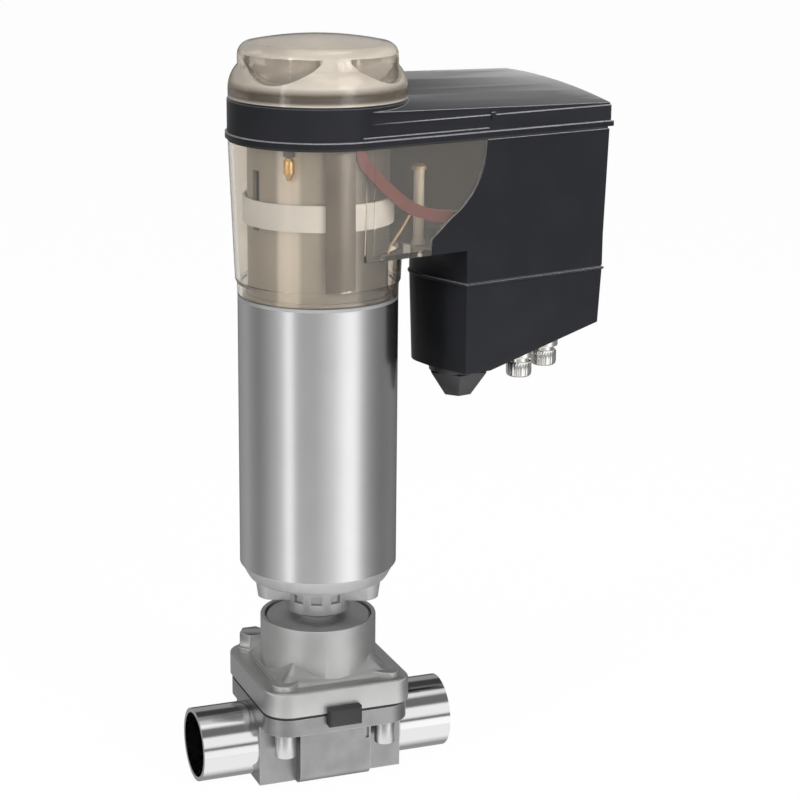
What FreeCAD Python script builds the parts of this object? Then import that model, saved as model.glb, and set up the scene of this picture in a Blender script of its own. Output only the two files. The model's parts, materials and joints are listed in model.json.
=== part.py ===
import FreeCAD, Part
import Sketcher
import math
import os
import re

from FreeCAD import Vector

# Motorized diaphragm valve, DN 25, with butt-weld spigots.
# Lengths are millimetres. The part's origin is the centre of the inlet's weld end, +X runs along
# the pipe to the outlet and +Z up the spindle. Each piece is drawn about the valve axis with its
# own seat at height zero, and is then placed at that seat.

doc = FreeCAD.newDocument("diaphragm_valve")
sheet = doc.addObject("Spreadsheet::Sheet", "dims")

DRIVING = [
    # Valve body
    ("face_to_face", 120.0), ("pipe_radius", 16.85), ("pipe_wall", 2.0), ("flange_side", 68.3),
    ("flange_corner", 12.0), ("body_height", 20.0), ("body_flange", 8.0),
    ("block_waist", 17.2), ("block_depth", 17.2), ("block_edge", 6.0), ("panel_half", 17.0),
    ("panel_reach", 24.4), ("bowl_radius", 21.5), ("weir_height", 1.0), ("weir_half", 4.0),
    ("bolt_pitch", 48.0), ("bolt_radius", 3.0), ("bolt_play", 0.3), ("mark_width", 1.6),
    ("mark_depth", 1.0), ("screw_head_radius", 4.8), ("screw_head_height", 12.0),
    ("washer_radius", 5.9), ("washer_height", 0.8), ("nut_corner", 6.4), ("nut_height", 7.0),
    ("nut_blind", 1.6), ("screw_past_nut", 5.0),
    # Diaphragm, compressor and spindle
    ("diaphragm_gap", 1.2), ("diaphragm_inset", 0.4), ("diaphragm_thick", 2.4), ("bead_width", 3.0),
    ("bead_height", 1.4), ("tab_width", 15.5), ("tab_height", 8.6), ("tab_reach", 4.2), ("stroke", 10.0),
    ("soft_play", 0.3), ("compressor_radius", 14.0), ("compressor_height", 12.0), ("stud_radius", 2.5),
    ("spindle_radius", 5.0), ("screw_radius", 6.0), ("screw_length", 64.0), ("slide_play", 0.05),
    ("fit_play", 0.02),
    # Bonnet
    ("bonnet_flange", 11.4), ("bonnet_height", 36.0), ("cup_radius", 26.5), ("cup_wall", 2.1),
    ("cup_floor", 25.0), ("flare_radius", 9.0), ("boss_width", 11.6), ("boss_height", 13.8),
    ("plinth_half", 27.6), ("boss_inner", 22.0), ("boss_outer", 40.0), ("chamber_radius", 18.0), ("chamber_height", 17.4),
    ("hub_radius", 12.5), ("hub_height", 29.0), ("bush_radius", 7.0), ("bush_length", 14.0),
    # Actuator base, neck and tube
    ("spigot_radius", 9.5), ("collar_height", 2.5), ("neck_start", 9.2), ("neck_radius", 14.6),
    ("ring_bottom", 26.3), ("ring_radius", 31.5), ("ring_taper_height", 1.2), ("ring_mid_radius", 32.3),
    ("wing_bottom", 15.0), ("wing_reach", 22.6), ("wing_width", 7.4), ("wing_round", 8.0), ("wing_draft", 8.0),
    ("shoulder_height", 33.0), ("tube_radius", 35.6), ("tube_wall", 1.5), ("tube_length", 122.5),
    ("plug_length", 9.0), ("plug_play", 0.2), ("groove_width", 2.6), ("cord_radius", 0.95),
    ("neck_slots", 10.0), ("slot_width", 5.0), ("slot_height", 3.8), ("slot_depth", 2.2),
    ("nut_wall", 10.1), ("nut_top", 6.2), ("nut_skirt", 3.6),
    # Drive inside the tube
    ("bearing_height", 3.5), ("bearing_radius", 14.0), ("drive_nut_radius", 10.5), ("drive_nut_length", 27.0),
    ("wheel_radius", 18.6), ("wheel_height", 7.0), ("pinion_radius", 5.0), ("tooth_depth", 0.9),
    ("gear_play", 0.1), ("plate_height", 4.0), ("plate_radius", 33.4), ("post_radius", 3.6),
    ("post_circle", 25.0), ("rod_radius", 2.0), ("motor_radius", 8.6), ("motor_length", 46.0),
    ("shaft_radius", 1.5),
    # Head
    ("head_turn", 12.6), ("head_flange", 1.5), ("sleeve_radius", 31.0), ("sleeve_wall", 1.6),
    ("slot_half", 2.6), ("indicator_height", 33.0), ("band_height", 11.5),
    ("band_wall", 1.2), ("band_play", 0.8), ("arm_size", 4.0), ("housing_height", 68.2),
    ("housing_wall", 2.1), ("housing_step", 36.6), ("housing_top_radius", 39.2), ("step_height", 7.0),
    ("arm_floor", 19.8), ("arc_centre", 25.0), ("arc_radius", 38.0), ("shell_start", 34.0),
    ("seam_play", 0.2), ("seal_height", 1.2), ("board_radius", 35.4), ("board_thick", 1.6),
    # Terminal box
    ("arm_end", 131.2), ("end_draft", 1.8), ("box_left", 53.0), ("box_bulge", 4.8), ("box_depth", 50.0),
    ("box_corner", 17.0), ("box_top_drop", 14.4), ("tray_height", 41.6), ("tray_flat", 15.0),
    ("tray_rise", 15.6), ("box_wall", 2.2), ("seam_height", 0.6),
    # Top cover and cap
    ("cover_height", 17.3), ("lip_height", 2.4), ("lip_reach", 0.9), ("lid_front", 14.8),
    ("lid_fall", 4.3), ("lid_rise", 7.5), ("lid_crown", 370.0), ("lid_wall", 2.4), ("cap_hole", 33.0),
    ("cap_skirt", 7.0), ("cap_radius", 39.0), ("cap_waist", 34.9), ("cap_height", 26.6),
    ("cap_lip", 4.0), ("cap_flare", 14.0), ("cap_shoulder", 18.0), ("cap_rim_drop", 3.3),
    ("dome_reach", 31.5), ("cap_wall", 2.2), ("cap_turn", 26.0),
    ("recess_floor", 28.4), ("recess_high", 19.2), ("recess_half", 21.0), ("recess_radius", 25.5),
    ("cap_play", 0.3), ("cover_wall", 2.4), ("clip_along", 64.0), ("clip_width", 2.4),
    ("lamp_along", -27.0), ("lamp_across", -20.6), ("lamp_radius", 2.4), ("post_along", 37.8),
    ("post_across", -22.0), ("post_height", 33.0), ("ribbon_width", 5.4), ("ribbon_thick", 1.2),
    ("ribbon_across", -33.2), ("wire_radius", 0.5), ("panel_height", 21.0),
    # Gland and sockets
    ("gland_along", 66.0), ("gland_across", -15.0), ("gland_radius", 13.2), ("gland_base", 3.6),
    ("gland_cone", 11.5), ("gland_tip", 6.0), ("gland_bore", 4.0), ("socket_along", 93.5),
    ("socket_pitch", 14.2), ("socket_across", -25.0), ("socket_radius", 4.9), ("socket_length", 15.5),
    ("socket_bore", 3.4),
]

DERIVED = [
    ("axis", "face_to_face / 2"),
    ("bonnet_seat", "body_height + diaphragm_gap"),
    ("actuator_seat", "bonnet_seat + hub_height"),
    ("tube_seat", "actuator_seat + shoulder_height"),
    ("base_top", "tube_seat + plug_length"),
    ("nut_seat", "base_top + bearing_height"),
    ("upper_bearing_seat", "nut_seat + drive_nut_length"),
    ("plate_seat", "upper_bearing_seat + bearing_height"),
    ("head_seat", "tube_seat + tube_length"),
    ("housing_seat", "head_seat + head_flange"),
    ("seal_seat", "housing_seat + housing_height"),
    ("sleeve_height", "housing_height + 0.4"),
    ("board_seat", "housing_seat + sleeve_height"),
    ("cover_seat", "seal_seat + seal_height"),
    ("cap_seat", "cover_seat + cover_height"),
    ("arm_bottom", "housing_seat + arm_floor"),
    ("seam_seat", "arm_bottom - box_top_drop"),
    ("compressor_seat", "weir_height + diaphragm_thick + soft_play + 0.6"),
    ("spindle_seat", "compressor_seat + compressor_height - 4"),
    ("screw_seat", "nut_seat - stroke"),
    ("rod_seat", "screw_seat + screw_length"),
    ("indicator_seat", "housing_seat + indicator_height"),
    ("motor_offset", "wheel_radius + pinion_radius + tooth_depth * 1.6 + gear_play"),
    ("pattern_half", "bolt_pitch / 2"),
    ("flange_half", "flange_side / 2"),
    ("cover_half", "housing_top_radius - 0.2"),
    ("cover_radius", "cover_half + 0.5"),
    ("lid_half", "cover_radius - 0.05"),
    ("box_front", "-cover_half"),
    ("box_rear", "box_depth - cover_half"),
    ("box_right", "arm_end - end_draft"),
    ("tray_seat", "seam_seat - seam_height"),
    ("tray_left", "box_left - box_bulge"),
    ("slope_start", "box_left + tray_flat"),
    ("slope", "tray_rise / (box_right - slope_start)"),
    ("tube_bore", "tube_radius - tube_wall"),
]

KNOWN = [name for name, number in DRIVING] + [name for name, formula in DERIVED]


def bound(formula):
    """A formula in the sheet's words, as the document understands it."""
    return re.sub(r"[a-z_]+", lambda word: "dims." + word.group() if word.group() in KNOWN else word.group(), formula)


for row, (name, number) in enumerate(DRIVING, start=1):
    sheet.set("A%d" % row, str(number))
    sheet.setAlias("A%d" % row, name)
doc.recompute()
for row, (name, formula) in enumerate(DERIVED, start=1):
    sheet.set("B%d" % row, "=" + formula)
    sheet.setAlias("B%d" % row, name)
    doc.recompute()

pieces = []


def size(formula):
    """The number that a formula gives now, for the first guess of a sketch."""
    number = sheet.evalExpression(bound(formula))
    return float(getattr(number, "Value", number))


def keep(piece, name, seat="0", turn="0", along="0", across="0"):
    """Names a piece and places it at its seat. The turn is about the valve axis, and along and
    across are measured from that axis in the turned directions."""
    piece.Label = name
    piece.Placement = FreeCAD.Placement(Vector(0, 0, 0), FreeCAD.Rotation(Vector(0, 0, 1), size(turn)))
    if turn != "0":
        piece.setExpression("Placement.Rotation.Angle", "(%s) * 1 deg" % bound(turn))
    reach = {"along": bound(along), "across": bound(across), "turn": bound(turn), "axis": bound("axis")}
    piece.setExpression("Placement.Base.x", "{axis} + ({along}) * cos(({turn}) * 1 deg)"
                        " - ({across}) * sin(({turn}) * 1 deg)".format(**reach))
    piece.setExpression("Placement.Base.y", "({along}) * sin(({turn}) * 1 deg)"
                        " + ({across}) * cos(({turn}) * 1 deg)".format(**reach))
    piece.setExpression("Placement.Base.z", bound(seat))
    pieces.append(piece)
    return piece


def new_body(name):
    return doc.addObject("PartDesign::Body", name + "_body")


def new_sketch(body, name, role, lift="0"):
    """A sketch on one of the body's own planes, lifted along that plane's normal."""
    sketch = body.newObject("Sketcher::SketchObject", name)
    plane = [feature for feature in body.Origin.OriginFeatures if feature.Role == role][0]
    sketch.AttachmentSupport = [(plane, "")]
    sketch.MapMode = "FlatFace"
    if lift != "0":
        sketch.AttachmentOffset = FreeCAD.Placement(Vector(0, 0, size(lift)), FreeCAD.Rotation())
        sketch.setExpression("AttachmentOffset.Base.z", bound(lift))
    return sketch


def pin_point(sketch, geometry, end, x, y):
    """Holds one end of a line or an arc at the place that two formulas give."""
    for kind, formula, own_axis in (("DistanceX", x, -2), ("DistanceY", y, -1)):
        if formula == "0":
            sketch.addConstraint(Sketcher.Constraint("PointOnObject", geometry, end, own_axis))
        else:
            index = sketch.addConstraint(Sketcher.Constraint(kind, -1, 1, geometry, end, size(formula)))
            sketch.setExpression("Constraints[%d]" % index, bound(formula))


def outline(sketch, corners):
    """A closed outline. A corner is (x, y), or (x, y, radius) where an arc runs to the next one:
    the arc bulges to the right of the way from corner to corner, or to the left if the radius
    is written with a minus sign. With the word dome the arc ends on the upright axis and has its
    centre there too."""
    count = len(corners)
    ends = []
    for index, corner in enumerate(corners):
        following = corners[(index + 1) % count]
        start = Vector(size(corner[0]), size(corner[1]), 0)
        stop = Vector(size(following[0]), size(following[1]), 0)
        if len(corner) == 2:
            geometry = sketch.addGeometry(Part.LineSegment(start, stop), False)
            ends.append((geometry, 1, 2))
            continue
        if corner[2] == "dome":
            level = (stop.y ** 2 - start.y ** 2 - start.x ** 2) / (2 * (stop.y - start.y))
            spread = math.atan2(start.x, start.y - level) / 2
            radius = stop.y - level
            middle = Vector(radius * math.sin(spread), level + radius * math.cos(spread), 0)
            geometry = sketch.addGeometry(Part.Arc(start, middle, stop), False)
            ends.append((geometry, 1, 2))
            sketch.addConstraint(Sketcher.Constraint("PointOnObject", geometry, 3, -2))
            continue
        formula = corner[2].lstrip("-")
        radius = size(formula)
        chord = stop - start
        middle = (start + stop) / 2
        left = Vector(-chord.y, chord.x, 0).normalize()
        rise = math.sqrt(radius ** 2 - (chord.Length / 2) ** 2)
        bulges_right = not corner[2].startswith("-")
        centre = middle + left * (rise if bulges_right else -rise)
        towards = left * (-1 if bulges_right else 1)
        geometry = sketch.addGeometry(Part.Arc(start, centre + towards * radius, stop), False)
        ends.append((geometry, 1, 2) if bulges_right else (geometry, 2, 1))
        index = sketch.addConstraint(Sketcher.Constraint("Radius", geometry, radius))
        sketch.setExpression("Constraints[%d]" % index, bound(formula))
    for index, (geometry, first, last) in enumerate(ends):
        after, after_first, after_last = ends[(index + 1) % count]
        sketch.addConstraint(Sketcher.Constraint("Coincident", geometry, last, after, after_first))
    for corner, (geometry, first, last) in zip(corners, ends):
        pin_point(sketch, geometry, first, corner[0], corner[1])


def circle(sketch, radius, x="0", y="0"):
    """A full circle whose radius and centre are formulas."""
    geometry = sketch.addGeometry(Part.Circle(Vector(size(x), size(y), 0), Vector(0, 0, 1), size(radius)), False)
    index = sketch.addConstraint(Sketcher.Constraint("Radius", geometry, size(radius)))
    sketch.setExpression("Constraints[%d]" % index, bound(radius))
    pin_point(sketch, geometry, 3, x, y)


def block(x_low, x_high, y_low, y_high):
    """The four corners of a rectangle."""
    return [(x_low, y_low), (x_high, y_low), (x_high, y_high), (x_low, y_high)]


def revolve(body, name, corners, cut=False):
    """A turned form: the outline is drawn in radius and height, then spun round the axis."""
    sketch = new_sketch(body, name + "_profile", "XZ_Plane")
    outline(sketch, corners)
    feature = body.newObject("PartDesign::Groove" if cut else "PartDesign::Revolution", name)
    feature.Profile = sketch
    feature.ReferenceAxis = (sketch, ["V_Axis"])
    feature.Angle = 360
    return feature


def extrude(body, name, draw, length, role="XY_Plane", lift="0", cut=False, back=False, both=False):
    """A pad, or a pocket where cut is set. draw fills the sketch. A pad grows along the plane's
    normal and a pocket goes against it, and back turns either round."""
    sketch = new_sketch(body, name + "_profile", role, lift)
    draw(sketch)
    feature = body.newObject("PartDesign::Pocket" if cut else "PartDesign::Pad", name)
    feature.Profile = sketch
    feature.Length = size(length)
    feature.setExpression("Length", bound(length))
    feature.Reversed = back
    feature.Midplane = both
    return feature


def repeat(body, name, feature, count, axis_role="Z_Axis"):
    """Copies of one feature spread evenly round an axis of the body."""
    axis_line = [line for line in body.Origin.OriginFeatures if line.Role == axis_role][0]
    pattern = body.newObject("PartDesign::PolarPattern", name)
    pattern.Originals = [feature]
    pattern.Axis = (axis_line, [""])
    pattern.Angle = 360
    pattern.Occurrences = int(size(count))
    if count in KNOWN:
        pattern.setExpression("Occurrences", bound(count))
    body.Tip = pattern
    return pattern


def ease(body, name, radius, wanted):
    """Rounds the edges of the body's last feature that the test picks."""
    doc.recompute()
    base = body.Tip
    edges = ["Edge%d" % (number + 1) for number, edge in enumerate(base.Shape.Edges) if wanted(edge)]
    fillet = body.newObject("PartDesign::Fillet", name)
    fillet.Base = (base, edges)
    fillet.Radius = size(radius)
    fillet.setExpression("Radius", bound(radius))
    return fillet


def upright(edge):
    """True for a straight edge along the height."""
    return len(edge.Vertexes) == 2 and abs(edge.tangentAt(edge.FirstParameter).z) > 0.999 and \
        isinstance(edge.Curve, Part.Line)


def turned(name, corners, seat, **place):
    """A piece that is one turned form."""
    body = new_body(name)
    revolve(body, name + "_form", corners)
    return keep(body, name, seat, **place)


def ring_section(inner, outer, low, high):
    """The half section of a plain ring or bush."""
    return [(inner, low), (outer, low), (outer, high), (inner, high)]


def drum_set(name, shapes, seat, **place):
    """Several like solids in one piece, each a short list of cylinders: (x, y, low, radius, height)."""
    drums = []
    for number, (x, y, low, radius, height) in enumerate(shapes):
        drum = doc.addObject("Part::Cylinder", "%s_%d" % (name, number))
        drum.setExpression("Radius", bound(radius))
        drum.setExpression("Height", bound(height))
        drum.setExpression("Placement.Base.x", bound(x))
        drum.setExpression("Placement.Base.y", bound(y))
        drum.setExpression("Placement.Base.z", bound(low))
        drums.append(drum)
    group = doc.addObject("Part::MultiFuse", name + "_group")
    group.Shapes = drums
    return keep(group, name, seat, **place)


CORNERS = [("pattern_half", "pattern_half"), ("-pattern_half", "pattern_half"),
           ("-pattern_half", "-pattern_half"), ("pattern_half", "-pattern_half")]


def four_holes(radius):
    """Draws the bolt pattern of the flanges."""
    def draw(sketch):
        for x, y in CORNERS:
            circle(sketch, radius, x, y)
    return draw


def square(half):
    """Draws a square about the axis."""
    return lambda sketch: outline(sketch, block("-" + half, half, "-" + half, half))


# Valve body: a forged block between two spigots, with a square flange on top.
body = new_body("valve_body")
extrude(body, "pipe", lambda sketch: circle(sketch, "pipe_radius"), "face_to_face", "YZ_Plane", both=True)
extrude(body, "flange", square("flange_half"), "body_flange", lift="body_height - body_flange")
ease(body, "flange_corners", "flange_corner", lambda edge: upright(edge))
extrude(body, "block", lambda sketch: outline(sketch, [
    ("-flange_half", "-block_waist"), ("-panel_half", "-block_waist"), ("-panel_half", "-panel_reach"),
    ("panel_half", "-panel_reach"), ("panel_half", "-block_waist"), ("flange_half", "-block_waist"),
    ("flange_half", "block_waist"), ("panel_half", "block_waist"), ("panel_half", "panel_reach"),
    ("-panel_half", "panel_reach"), ("-panel_half", "block_waist"), ("-flange_half", "block_waist")]),
    "body_height - body_flange + block_depth", lift="-block_depth")
ease(body, "block_lower_edges", "block_edge", lambda edge: len(edge.Vertexes) == 2
     and isinstance(edge.Curve, Part.Line) and abs(edge.tangentAt(edge.FirstParameter).x) > 0.999
     and abs(edge.Vertexes[0].Z + size("block_depth")) < 0.01
     and abs(edge.Vertexes[0].Y) > size("panel_reach - 0.1"))
extrude(body, "mark", lambda sketch: outline(sketch, block(
    "panel_half - mark_width - 0.9", "panel_half - 0.9", "2", "9")),
    "mark_depth * 2", "XZ_Plane", lift="panel_reach - mark_depth", cut=True, back=True)
for side, lift, away in (("inlet", "-face_to_face / 2", True), ("outlet", "weir_half", True)):
    extrude(body, side + "_bore", lambda sketch: circle(sketch, "pipe_radius - pipe_wall"),
            "face_to_face / 2 - weir_half", "YZ_Plane", lift=lift, cut=True, back=away)
revolve(body, "bowl", [("0", "weir_height", "bowl_radius + 1"), ("bowl_radius", "body_height"),
                       ("bowl_radius", "body_height + 1"), ("0", "body_height + 1")], cut=True)
revolve(body, "bead_groove", ring_section("bowl_radius + 2", "bowl_radius + 2 + bead_width",
                                          "body_height - bead_height", "body_height + 1"), cut=True)
extrude(body, "bolt_holes", four_holes("bolt_radius + bolt_play"), "body_flange + block_depth + 20",
        lift="body_height + 1", cut=True)
keep(body, "valve_body")

# Diaphragm: a square sheet between the flanges, a bead, a dished middle and a tab at the front.
body = new_body("diaphragm")
extrude(body, "sheet", square("(flange_half - diaphragm_inset)"), "diaphragm_gap")
ease(body, "sheet_corners", "flange_corner - diaphragm_inset", lambda edge: upright(edge))
extrude(body, "sheet_opening", lambda sketch: circle(sketch, "bowl_radius - 1"), "diaphragm_gap + 1",
        lift="diaphragm_gap + 0.5", cut=True)
revolve(body, "bead", ring_section("bowl_radius + 2.2", "bowl_radius + bead_width + 1.8",
                                   "0.2 - bead_height", "0.5"))
revolve(body, "dish", [("0", "weir_height + soft_play - body_height"),
                       ("compressor_radius / 2", "weir_height + soft_play + 1.3 - body_height"),
                       ("bowl_radius - 1.6", "-2"), ("bowl_radius - 0.5", "0"),
                       ("bowl_radius - 0.5", "diaphragm_gap"), ("bowl_radius - 2.6", "diaphragm_gap - 0.4"),
                       ("compressor_radius / 2 - 0.6", "weir_height + soft_play + diaphragm_thick - body_height"),
                       ("0", "weir_height + soft_play + diaphragm_thick - body_height")])
extrude(body, "tab", lambda sketch: outline(sketch, block(
    "-tab_width / 2", "tab_width / 2", "-tab_height / 2", "tab_height / 2")),
    "tab_reach", "XZ_Plane", lift="flange_half + soft_play")
extrude(body, "tab_root", lambda sketch: outline(sketch, block(
    "-tab_width / 2 + 0.5", "tab_width / 2 - 0.5", "0", "diaphragm_gap")),
    "tab_reach", "XZ_Plane", lift="flange_half + soft_play + 0.5", back=True)
extrude(body, "bolt_holes_in_sheet", four_holes("bolt_radius + bolt_play"), "diaphragm_gap + 2",
        lift="diaphragm_gap + 1", cut=True)
ease(body, "tab_edges", "1.4", lambda edge: edge.Vertexes[0].Y < -size("flange_half + tab_reach - 1")
     and edge.Vertexes[-1].Y < -size("flange_half + tab_reach - 1"))
keep(body, "diaphragm", "body_height")

# Bonnet: a square flange with corner bosses and a square plinth that flows up into an open cup.
body = new_body("bonnet")
extrude(body, "flange", square("flange_half"), "bonnet_flange")
ease(body, "flange_corners", "flange_corner", lambda edge: upright(edge))
revolve(body, "cup", [("0", "0"), ("flange_half - 0.3", "0"), ("flange_half - 0.3", "bonnet_flange", "-flare_radius"),
                      ("cup_radius", "bonnet_flange + flare_radius - 1"), ("cup_radius", "bonnet_height"),
                      ("0", "bonnet_height")])
extrude(body, "plinth_sides", lambda sketch: [square(half)(sketch) for half in ("flange_side", "plinth_half")],
        "flare_radius", lift="bonnet_flange + flare_radius", cut=True)
boss = extrude(body, "boss", lambda sketch: outline(sketch, [
    ("boss_inner", "-boss_width / 2"), ("boss_outer - 3", "-boss_width / 2", "boss_width / 2 + 4"),
    ("boss_outer - 3", "boss_width / 2"), ("boss_inner", "boss_width / 2")]), "boss_height")
boss.Profile[0].AttachmentOffset = FreeCAD.Placement(Vector(0, 0, 0), FreeCAD.Rotation(Vector(0, 0, 1), 45))
repeat(body, "bosses", boss, "4")
revolve(body, "cup_bore", [("hub_radius", "cup_floor"), ("cup_radius - cup_wall", "cup_floor"),
                           ("cup_radius - cup_wall", "bonnet_height + 1"), ("0", "bonnet_height + 1"),
                           ("0", "hub_height"), ("hub_radius", "hub_height")], cut=True)
revolve(body, "chamber", [("0", "-1"), ("chamber_radius + 1", "-1"), ("chamber_radius + 1", "2"),
                          ("chamber_radius", "3"), ("chamber_radius", "chamber_height - 3", "3.01"),
                          ("chamber_radius - 3", "chamber_height"), ("0", "chamber_height")], cut=True)
revolve(body, "bush_bore", [("0", "chamber_height - 1"), ("spindle_radius + 0.4", "chamber_height - 1"),
                            ("spindle_radius + 0.4", "hub_height - bush_length + 2"),
                            ("bush_radius", "hub_height - bush_length + 2"), ("bush_radius", "hub_height + 1"),
                            ("0", "hub_height + 1")], cut=True)
extrude(body, "bolt_holes", four_holes("bolt_radius + bolt_play"), "boss_height - 2",
        lift="boss_height - 2", cut=True)
extrude(body, "rear_bolt_holes", lambda sketch: [circle(sketch, "bolt_radius + bolt_play", x, y)
                                                 for x, y in CORNERS[:2]],
        "boss_height + 2", lift="boss_height + 1", cut=True)
extrude(body, "nut_spot_faces", lambda sketch: [circle(sketch, "nut_corner + 0.3", x, y) for x, y in CORNERS[:2]],
        "flare_radius", lift="boss_height + flare_radius", cut=True)
keep(body, "bonnet", "bonnet_seat")

# Flange fasteners: screws from below, long ones with nuts at the two rear corners.
SCREW_SEAT = "body_height - body_flange - washer_height"
screw_shapes = []
for number, (x, y) in enumerate(CORNERS):
    reach = "bonnet_seat + boss_height - (%s)" % SCREW_SEAT
    screw_shapes.append((x, y, "0", "bolt_radius", reach + (" + screw_past_nut" if number < 2 else " - 3")))
    screw_shapes.append((x, y, "-screw_head_height", "screw_head_radius", "screw_head_height"))
drum_set("flange_screws", screw_shapes, SCREW_SEAT)
body = new_body("flange_washers")
extrude(body, "washers", lambda sketch: [circle(sketch, radius, x, y) for x, y in CORNERS
                                         for radius in ("washer_radius", "bolt_radius + bolt_play")],
        "washer_height")
keep(body, "flange_washers", SCREW_SEAT)
nuts = []
for number, (x, y) in enumerate(CORNERS[:2]):
    prism = doc.addObject("Part::Prism", "flange_nut_prism_%d" % number)
    prism.Polygon = 6
    prism.setExpression("Circumradius", bound("nut_corner"))
    prism.setExpression("Height", bound("nut_height"))
    hole = doc.addObject("Part::Cylinder", "flange_nut_hole_%d" % number)
    hole.setExpression("Radius", bound("bolt_radius + fit_play"))
    hole.setExpression("Height", bound("nut_height - nut_blind"))
    nut = doc.addObject("Part::Cut", "flange_nut_%d" % number)
    nut.Base = prism
    nut.Tool = hole
    nut.setExpression("Placement.Base.x", bound(x))
    nut.setExpression("Placement.Base.y", bound(y))
    nuts.append(nut)
group = doc.addObject("Part::MultiFuse", "flange_nuts_group")
group.Shapes = nuts
keep(group, "flange_nuts", "bonnet_seat + boss_height")

# Compressor and spindle: pressed down on the diaphragm at rest, lifted by the stroke when open.
turned("diaphragm_stud", ring_section("0", "stud_radius", "0", "7"), "compressor_seat - 0.2")
turned("compressor", [("stud_radius + 0.3", "0"), ("compressor_radius / 2 - 1", "0"),
                      ("compressor_radius", "compressor_height * 0.93"), ("compressor_radius", "compressor_height"),
                      ("spindle_radius + slide_play", "compressor_height"),
                      ("spindle_radius + slide_play", "compressor_height - 4.2"),
                      ("stud_radius + 0.3", "compressor_height - 4.2")], "compressor_seat")
turned("spindle", [("0", "0"), ("spindle_radius", "0"), ("spindle_radius", "screw_seat - spindle_seat"),
                   ("screw_radius", "screw_seat - spindle_seat + 1"),
                   ("screw_radius", "rod_seat - spindle_seat - 1"), ("screw_radius - 1", "rod_seat - spindle_seat"),
                   ("0", "rod_seat - spindle_seat")], "spindle_seat")
turned("guide_bush", ring_section("spindle_radius + slide_play", "bush_radius - fit_play", "0", "bush_length - 5"),
       "bonnet_seat + hub_height - bush_length + 2")
turned("spindle_seal", ring_section("spindle_radius + slide_play", "bush_radius - fit_play", "0", "2.6"),
       "bonnet_seat + hub_height - 3")

# Actuator base: spigot in the union nut, slotted neck with a wing on either side, ring and tube plug.
BASE_BORE = "screw_radius + 0.4"
body = new_body("actuator_base")
revolve(body, "base_form", [
    (BASE_BORE, "0"), ("hub_radius", "0"), ("hub_radius", "collar_height"), ("spigot_radius", "collar_height"),
    ("spigot_radius", "neck_start"), ("neck_radius - 0.8", "neck_start"), ("neck_radius", "neck_start + 0.8"),
    ("neck_radius", "ring_bottom"), ("ring_radius", "ring_bottom"),
    ("ring_mid_radius", "ring_bottom + ring_taper_height"),
    ("tube_radius - 0.4", "shoulder_height"), ("tube_bore - plug_play", "shoulder_height"),
    ("tube_bore - plug_play", "shoulder_height + plug_length / 2 - groove_width / 2"),
    ("tube_bore - 2 * cord_radius - 0.1", "shoulder_height + plug_length / 2 - groove_width / 2"),
    ("tube_bore - 2 * cord_radius - 0.1", "shoulder_height + plug_length / 2 + groove_width / 2"),
    ("tube_bore - plug_play", "shoulder_height + plug_length / 2 + groove_width / 2"),
    ("tube_bore - plug_play", "shoulder_height + plug_length"), (BASE_BORE, "shoulder_height + plug_length")])
slot = extrude(body, "neck_slot", lambda sketch: outline(sketch, block(
    "-slot_width / 2", "slot_width / 2", "wing_bottom", "wing_bottom + slot_height")),
    "slot_depth * 2", "XZ_Plane", lift="neck_radius - slot_depth", cut=True, back=True)
repeat(body, "neck_slots_round", slot, "neck_slots")
wings = extrude(body, "wings", lambda sketch: outline(sketch, [
    ("-wing_reach", "-wing_width"), ("wing_reach", "-wing_width", "wing_round"), ("wing_reach", "wing_width"),
    ("-wing_reach", "wing_width", "wing_round")]), "ring_bottom - wing_bottom + 1", lift="wing_bottom")
wings.TaperAngle = size("wing_draft")
wings.setExpression("TaperAngle", bound("wing_draft"))
revolve(body, "bore_through_wings", ring_section("0", BASE_BORE, "wing_bottom - 1", "ring_bottom + 2"), cut=True)
extrude(body, "tie_rod_holes", lambda sketch: [circle(sketch, "rod_radius + 0.05", "post_circle * %s" % x,
                                                      "post_circle * %s" % y)
                                               for x, y in (("0.5", "0.8660254"), ("-1", "0"), ("0.5", "-0.8660254"))],
        "plug_length", lift="shoulder_height + plug_length", cut=True)
keep(body, "actuator_base", "actuator_seat")
body = new_body("union_nut")
revolve(body, "union_form", [
    ("hub_radius + 0.2", "-nut_skirt"), ("hub_radius + nut_wall", "-nut_skirt"),
    ("hub_radius + nut_wall", "nut_top - 0.8"), ("hub_radius + nut_wall - 0.8", "nut_top"),
    ("spigot_radius + 0.2", "nut_top"), ("spigot_radius + 0.2", "collar_height"),
    ("hub_radius + 0.2", "collar_height")])
keep(body, "union_nut", "actuator_seat")
turned("steel_tube", ring_section("tube_bore", "tube_radius", "0", "tube_length"), "tube_seat")


def cord_ring(name, seat):
    """A round sealing ring in the groove of a plug."""
    ring = doc.addObject("Part::Torus", name + "_ring")
    ring.setExpression("Radius1", bound("tube_bore - cord_radius - 0.03"))
    ring.setExpression("Radius2", bound("cord_radius - 0.03"))
    return keep(ring, name, seat)


cord_ring("lower_tube_seal", "tube_seat + plug_length / 2")
cord_ring("upper_tube_seal", "head_seat - plug_length / 2")

# Drive: the threaded nut turns between two thrust bearings and moves the spindle.
turned("lower_thrust_bearing", ring_section("screw_radius + 1", "bearing_radius", "0", "bearing_height"), "base_top")
turned("drive_nut", [("screw_radius + slide_play", "0"), ("drive_nut_radius", "0"),
                     ("drive_nut_radius", "drive_nut_length - wheel_height - 2"),
                     ("drive_nut_radius + 2", "drive_nut_length - wheel_height - 2"),
                     ("drive_nut_radius + 2", "drive_nut_length - wheel_height"),
                     ("drive_nut_radius", "drive_nut_length - wheel_height"),
                     ("drive_nut_radius", "drive_nut_length"), ("screw_radius + slide_play", "drive_nut_length")],
       "nut_seat")
turned("upper_thrust_bearing", ring_section("screw_radius + 1", "bearing_radius", "0", "bearing_height"),
       "upper_bearing_seat")


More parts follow.
